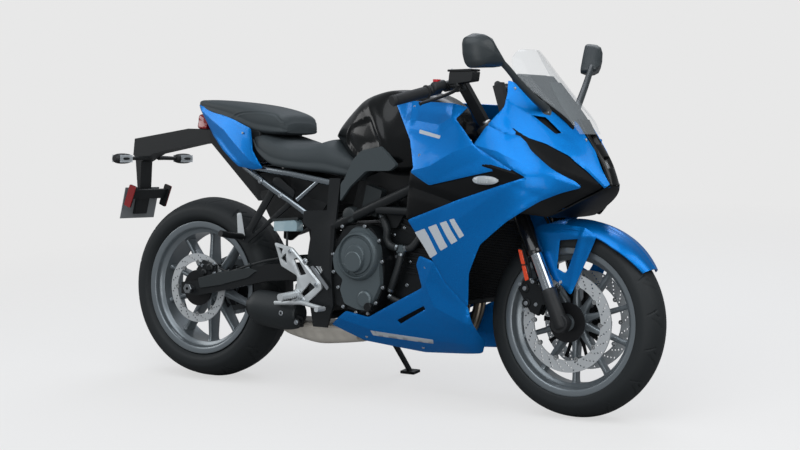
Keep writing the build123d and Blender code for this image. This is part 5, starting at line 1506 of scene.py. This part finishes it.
for side in (-1, 1):
    parts.append((*panel(bracket, side, wall=8, openings=windows, spacing=9, lip=1.4, reach=7,
                         ridges=[([(-330, 488), (-250, 420), (-206, 330)], 3, 14),
                                 ([(-262, 476), (-146, 368)], 2.5, 9)],
                         surface=upright_plane(bracket_face)), bare_cast))
    parts.append((*panel(hanger, side, wall=8, openings=hanger_window, spacing=9, reach=7,
                         surface=upright_plane(128)), frame_black))
    parts.append((*panel(heel_plate, side, wall=3, spacing=8, reach=5, surface=upright_plane(134)),
                  bare_cast))
    parts.append((*hose([(-235, side * 160, 330), (-238, side * 190, 328), (-245, side * 252, 322)], 13, 13,
                        24), bare_cast))
    parts.append((*hose([(-505, side * 124, 505), (-508, side * 190, 512), (-512, side * 240, 520)], 11, 13,
                        24), satin_black))
    for x, z in ((-330, 652), (-416, 697)):
        parts += hex_bolt(x, z, side * 153, side, 5)
    for x, z in ((-268, 470), (-158, 366), (-206, 440), (-214, 312)):
        parts.append((*round_bar(x, z, side * bracket_face, side * (bracket_face + 3), 10, 0, 32), bare_cast))
        parts += hex_bolt(x, z, side * (bracket_face + 3), side, 5)
    heel = [(-182, 424), (-170, 428), (-104, 360), (-112, 350)]
    parts.append((*slab(bowed(heel, 4), side * 171, side * 174), steel_screw))
    for k in range(7):
        y = 186 + 9 * k
        centre = (-236 - 0.13 * (y - 160), side * y, 330 - 0.1 * (y - 160))
        parts.append((*facing([(13, -1.6), (14.6, -1.2), (14.6, 1.2), (13, 1.6)], centre,
                              (-0.13, side, -0.1), 28), satin_black))
    parts.append((*hose([(-236, side * 168, 330), (-238, side * 176, 329)], 17, 3, 24), bare_cast))
piece("footrests_cast", parts, "chassis", ["footrests"], sharp=30)


# ---- side stand ----
# Forged steel leg with a flat foot, swung on a pivot bolt under the frame and painted in the
# frame's semi-gloss black.
solid_copy("side_stand", frame_black, 2)


# ---- brakes ----
# Radially mounted calipers with bolts and piston bosses in front, a small one behind, in
# satin black; rubber lines in clips run up the fork.
caliper_black = grain(material("satin_black_caliper", "#1c1f21", metallic=0.4, roughness=0.38), 0.5, 0.02)
solid_copy("front_calipers", caliper_black, 3)
solid_copy("rear_caliper", caliper_black, 2)
parts = []
for side in (-1, 1):
    for x, z in ((598, 352), (592, 398)):
        centre = (x, side * 88, z)
        parts.append((*facing([(0.1, 5), (12, 5), (14, 3.5), (15, 0)], centre, (0, side, 0), 36),
                      caliper_black))
        parts.append((*facing([(0.1, 6.5), (6, 6.5), (7, 5.5), (7, 4)], centre, (0, side, 0), 28),
                      steel_screw))
    for x, z in ((572, 410), (618, 420), (588, 330), (632, 350)):
        parts += hex_bolt(x, z, side * 88, side, 4.5)
    line = [(604, side * 76, 427), (606, side * 84, 452), (598, side * 96, 500), (582, side * 94, 560),
            (556, side * 80, 620), (536, side * 70, 660), (525, side * 62, 682)]
    parts.append((*hose(line, 4.6, 61, 14), hose_rubber))
    parts.append((*facing([(0.1, 4), (8, 4), (9, 2), (9, -4), (0.1, -4)], line[0], (0, 0.2 * side, 1), 28),
                  clamp_steel))
    route = through(line, 61)
    for k in (25, 43):
        parts.append((*facing([(4.6, -5), (7.5, -5), (7.5, 5), (4.6, 5)], route[k],
                              route[k + 1] - route[k - 1], 24), plastic))
piece("brake_lines", parts, "steering", ["brake_hoses"], sharp=35)
parts = []
for x, z, r in ((-664, 390, 15), (-690, 372, 12)):
    parts.append((*facing([(0.1, 8), (r * 0.6, 8), (r * 0.8, 5), (r, 4), (r, -2)], (x, -108, z), (0, -1, 0),
                          32), caliper_black))
for x, z in ((-648, 404), (-700, 395), (-646, 372)):
    parts += hex_bolt(x, z, -107, -1, 4.5)
piece("rear_caliper_fittings", parts, "chassis", sharp=35)


# ---- rear shock ----
# Coil spring of lacquered wire, satin black, wound over a turned steel damper between two
# spring plates.
foot, head = np.array([-285.0, 0, 425.8]), np.array([-186.4, 0, 581.5])
rise = head - foot
length = np.linalg.norm(rise)
turns, coil_radius, wire_radius = 6.5, 26.5, 5
angle = np.linspace(0, turns * 2 * pi, 200)[:, None]
first = np.array([rise[2], 0, -rise[0]]) / length
climb = foot + rise * (0.17 + 0.66 * angle / angle[-1])
coil = climb + coil_radius * (np.cos(angle) * first + np.sin(angle) * (0, 1, 0))
parts = [(*hose(coil, wire_radius, sides=12, ease=False), satin_black)]
damper = [(0.1, 0), (14, 0), (14, length * 0.12), (31, length * 0.13), (31, length * 0.165),
          (15, length * 0.17), (15, length * 0.55), (9, length * 0.56), (9, length * 0.835),
          (31, length * 0.84), (31, length * 0.87), (14, length * 0.88), (14, length), (0.1, length)]
parts.append((*facing(damper, foot, rise, 48), clamp_steel))
piece("rear_shock_wound", parts, "chassis", ["rear_shock"], sharp=30)


# ---- drive chain ----
# Roller chain: pairs of pressed steel plates, inner and outer by turns, on pins and rollers,
# run tight round both sprockets.
chain_pitch, rear_radius, front_radius = 15.875, 98, 37
front_centre = np.array([-75.0, 410])
rear_centre = np.array(rear_axle, float)
between = front_centre - rear_centre
spread = acos((rear_radius - front_radius) / np.linalg.norm(between))
straight = np.linalg.norm(between) * sin(spread)
front_arc, rear_arc = front_radius * 2 * spread, rear_radius * 2 * (pi - spread)
low_turn = atan2(between[1], between[0]) - spread
high_turn = low_turn + 2 * spread


def radial(turn):
    """Unit vector at an angle in the (x, z) plane."""
    return np.array([cos(turn), sin(turn)])


def on_loop(s):
    """Place on the closed chain line a length s along it: round the small sprocket, back along
    the lower run, round the large one and forward along the upper run."""
    if s < front_arc:
        return front_centre + front_radius * radial(high_turn - s / front_radius)
    s -= front_arc
    if s < straight:
        return front_centre + front_radius * radial(low_turn) + s * radial(low_turn - pi / 2)
    s -= straight
    if s < rear_arc:
        return rear_centre + rear_radius * radial(low_turn - s / rear_radius)
    return rear_centre + rear_radius * radial(high_turn) + (s - rear_arc) * radial(high_turn - pi / 2)


whole = front_arc + rear_arc + 2 * straight
count = round(whole / chain_pitch / 2) * 2
step = whole / count
parts = []
for k in range(count):
    pin, after = on_loop(k * step), on_loop((k + 1) * step % whole)
    way = (after - pin) / np.linalg.norm(after - pin)
    normal = np.array([-way[1], way[0]])
    link = [centre + 6.2 * sign * (way * cos(radians(a)) + normal * sin(radians(a)))
            for centre, sign in ((pin, -1), (after, 1)) for a in (-80, -40, 0, 40, 80)]
    out = 8.6 if k % 2 else 6.4
    for low in (-out, out - 1.8):
        parts.append((*slab(link, sprocket_y + low, sprocket_y + low + 1.8), axle_steel))
    for half, radius, sides, finish in ((4.4, 4.6, 10, axle_steel), (8.9, 2.4, 8, clamp_steel)):
        parts.append((*round_bar(*pin, sprocket_y - half, sprocket_y + half, radius, 0, sides, 0.3), finish))
piece("drive_chain_links", parts, "chassis", ["drive_chain"], sharp=30)


# ---- radiator ----
# Brazed aluminium core of thin fins and tubes, painted black, between two moulded tanks; it
# leans back and hangs from the frame by two stays.
core_black = material("radiator_core_black", "#15181a", metallic=0.4, roughness=0.5)
corners = [(372, 335), (398, 335), (452, 610), (426, 610)]
parts = []
for side in (-1, 1):
    parts.append((*slab(bowed(corners, 5), side * 150, side * 168), plastic))
    parts.append((*hose([(432, side * 66, 604), (420, side * 63, 660), (408, side * 60, 712)], 6, 8, 16),
                  frame_black))
for low, high in ((0, 0.05), (0.95, 1)):
    rail = [(372 + 54 * share + w, 335 + 275 * share)
            for share, w in ((low, 0), (low, 26), (high, 26), (high, 0))]
    parts.append((*slab(rail, -150, 150), plastic))
for k in range(46):
    z = 350 + 5.35 * k
    x = 372 + 54 * (z - 335) / 275
    parts.append((*slab([(x + 3, z), (x + 23, z + 0.2), (x + 23, z + 1.6), (x + 3, z + 1.4)], -150, 150),
                  core_black))
for k in range(26):
    y = -150 + 12 * k
    parts.append((*slab([(378, 348), (392, 348), (444, 597), (430, 597)], y, y + 2), core_black))
piece("radiator_core_finned", parts, "chassis", ["radiator"], sharp=30)


# ---- trim ----
# Plain stripes of pale film on the flanks, and plated cup-head screws through the panels;
# the film is flat and smooth, with a thin gloss.
stripe_grey = material("pale_stripe_film", "#b9c0c6", roughness=0.35, Coat_Weight=0.8, Coat_Roughness=0.06)
parts = []
bars = [[(262, 560), (300, 574), (352, 498), (324, 482)], [(314, 579), (346, 590), (392, 522), (366, 508)],
        [(360, 594), (386, 602), (428, 542), (406, 530)], [(398, 606), (416, 611), (452, 560), (436, 550)],
        [(60, 214), (300, 206), (306, 220), (54, 230)], [(240, 872), (330, 856), (332, 866), (238, 884)]]
for side in (-1, 1):
    for bar in bars:
        middle = np.mean(bar, axis=0)
        ridges = next(ridges for outline, ridges, _ in panel_creases.values()
                      if inside(outline, middle[:1], middle[1:]).any())
        parts.append((*panel(bar, side, wall=0.3, depth=-0.35, lip=0, reach=3, ridges=ridges), stripe_grey))
piece("flank_stripes", parts, "chassis", sharp=60)

parts = []
panel_screw = [(0.1, 1.2), (2, 1.2), (2.4, 2.2), (4.6, 2.0), (5.4, 0.8), (5.4, -1), (0.1, -1)]
tail_screw = [(0.1, 2), (3.4, 1.6), (4, 0.6), (4, -1), (0.1, -1)]
panel_screws = [(186, 955), (262, 802), (452, 850), (560, 1016), (700, 930), (770, 862), (300, 452),
                (430, 300), (30, 208), (250, 190)]
for side in (-1, 1):
    for x, z in panel_screws:
        y = fairing_half_width(np.array([x]), np.array([z]))[0]
        parts.append((*facing(panel_screw, (x, side * y, z), (0, side, 0.12), 24), steel_screw))
    for x, z in ((-505, 858), (-640, 888)):
        y = tail_half_width(np.array([x]), np.array([z]))[0] + 3
        parts.append((*facing(tail_screw, (x, side * y, z), (0, side, 0.1), 20), steel_screw))
piece("panel_screws", parts, "chassis", sharp=40)
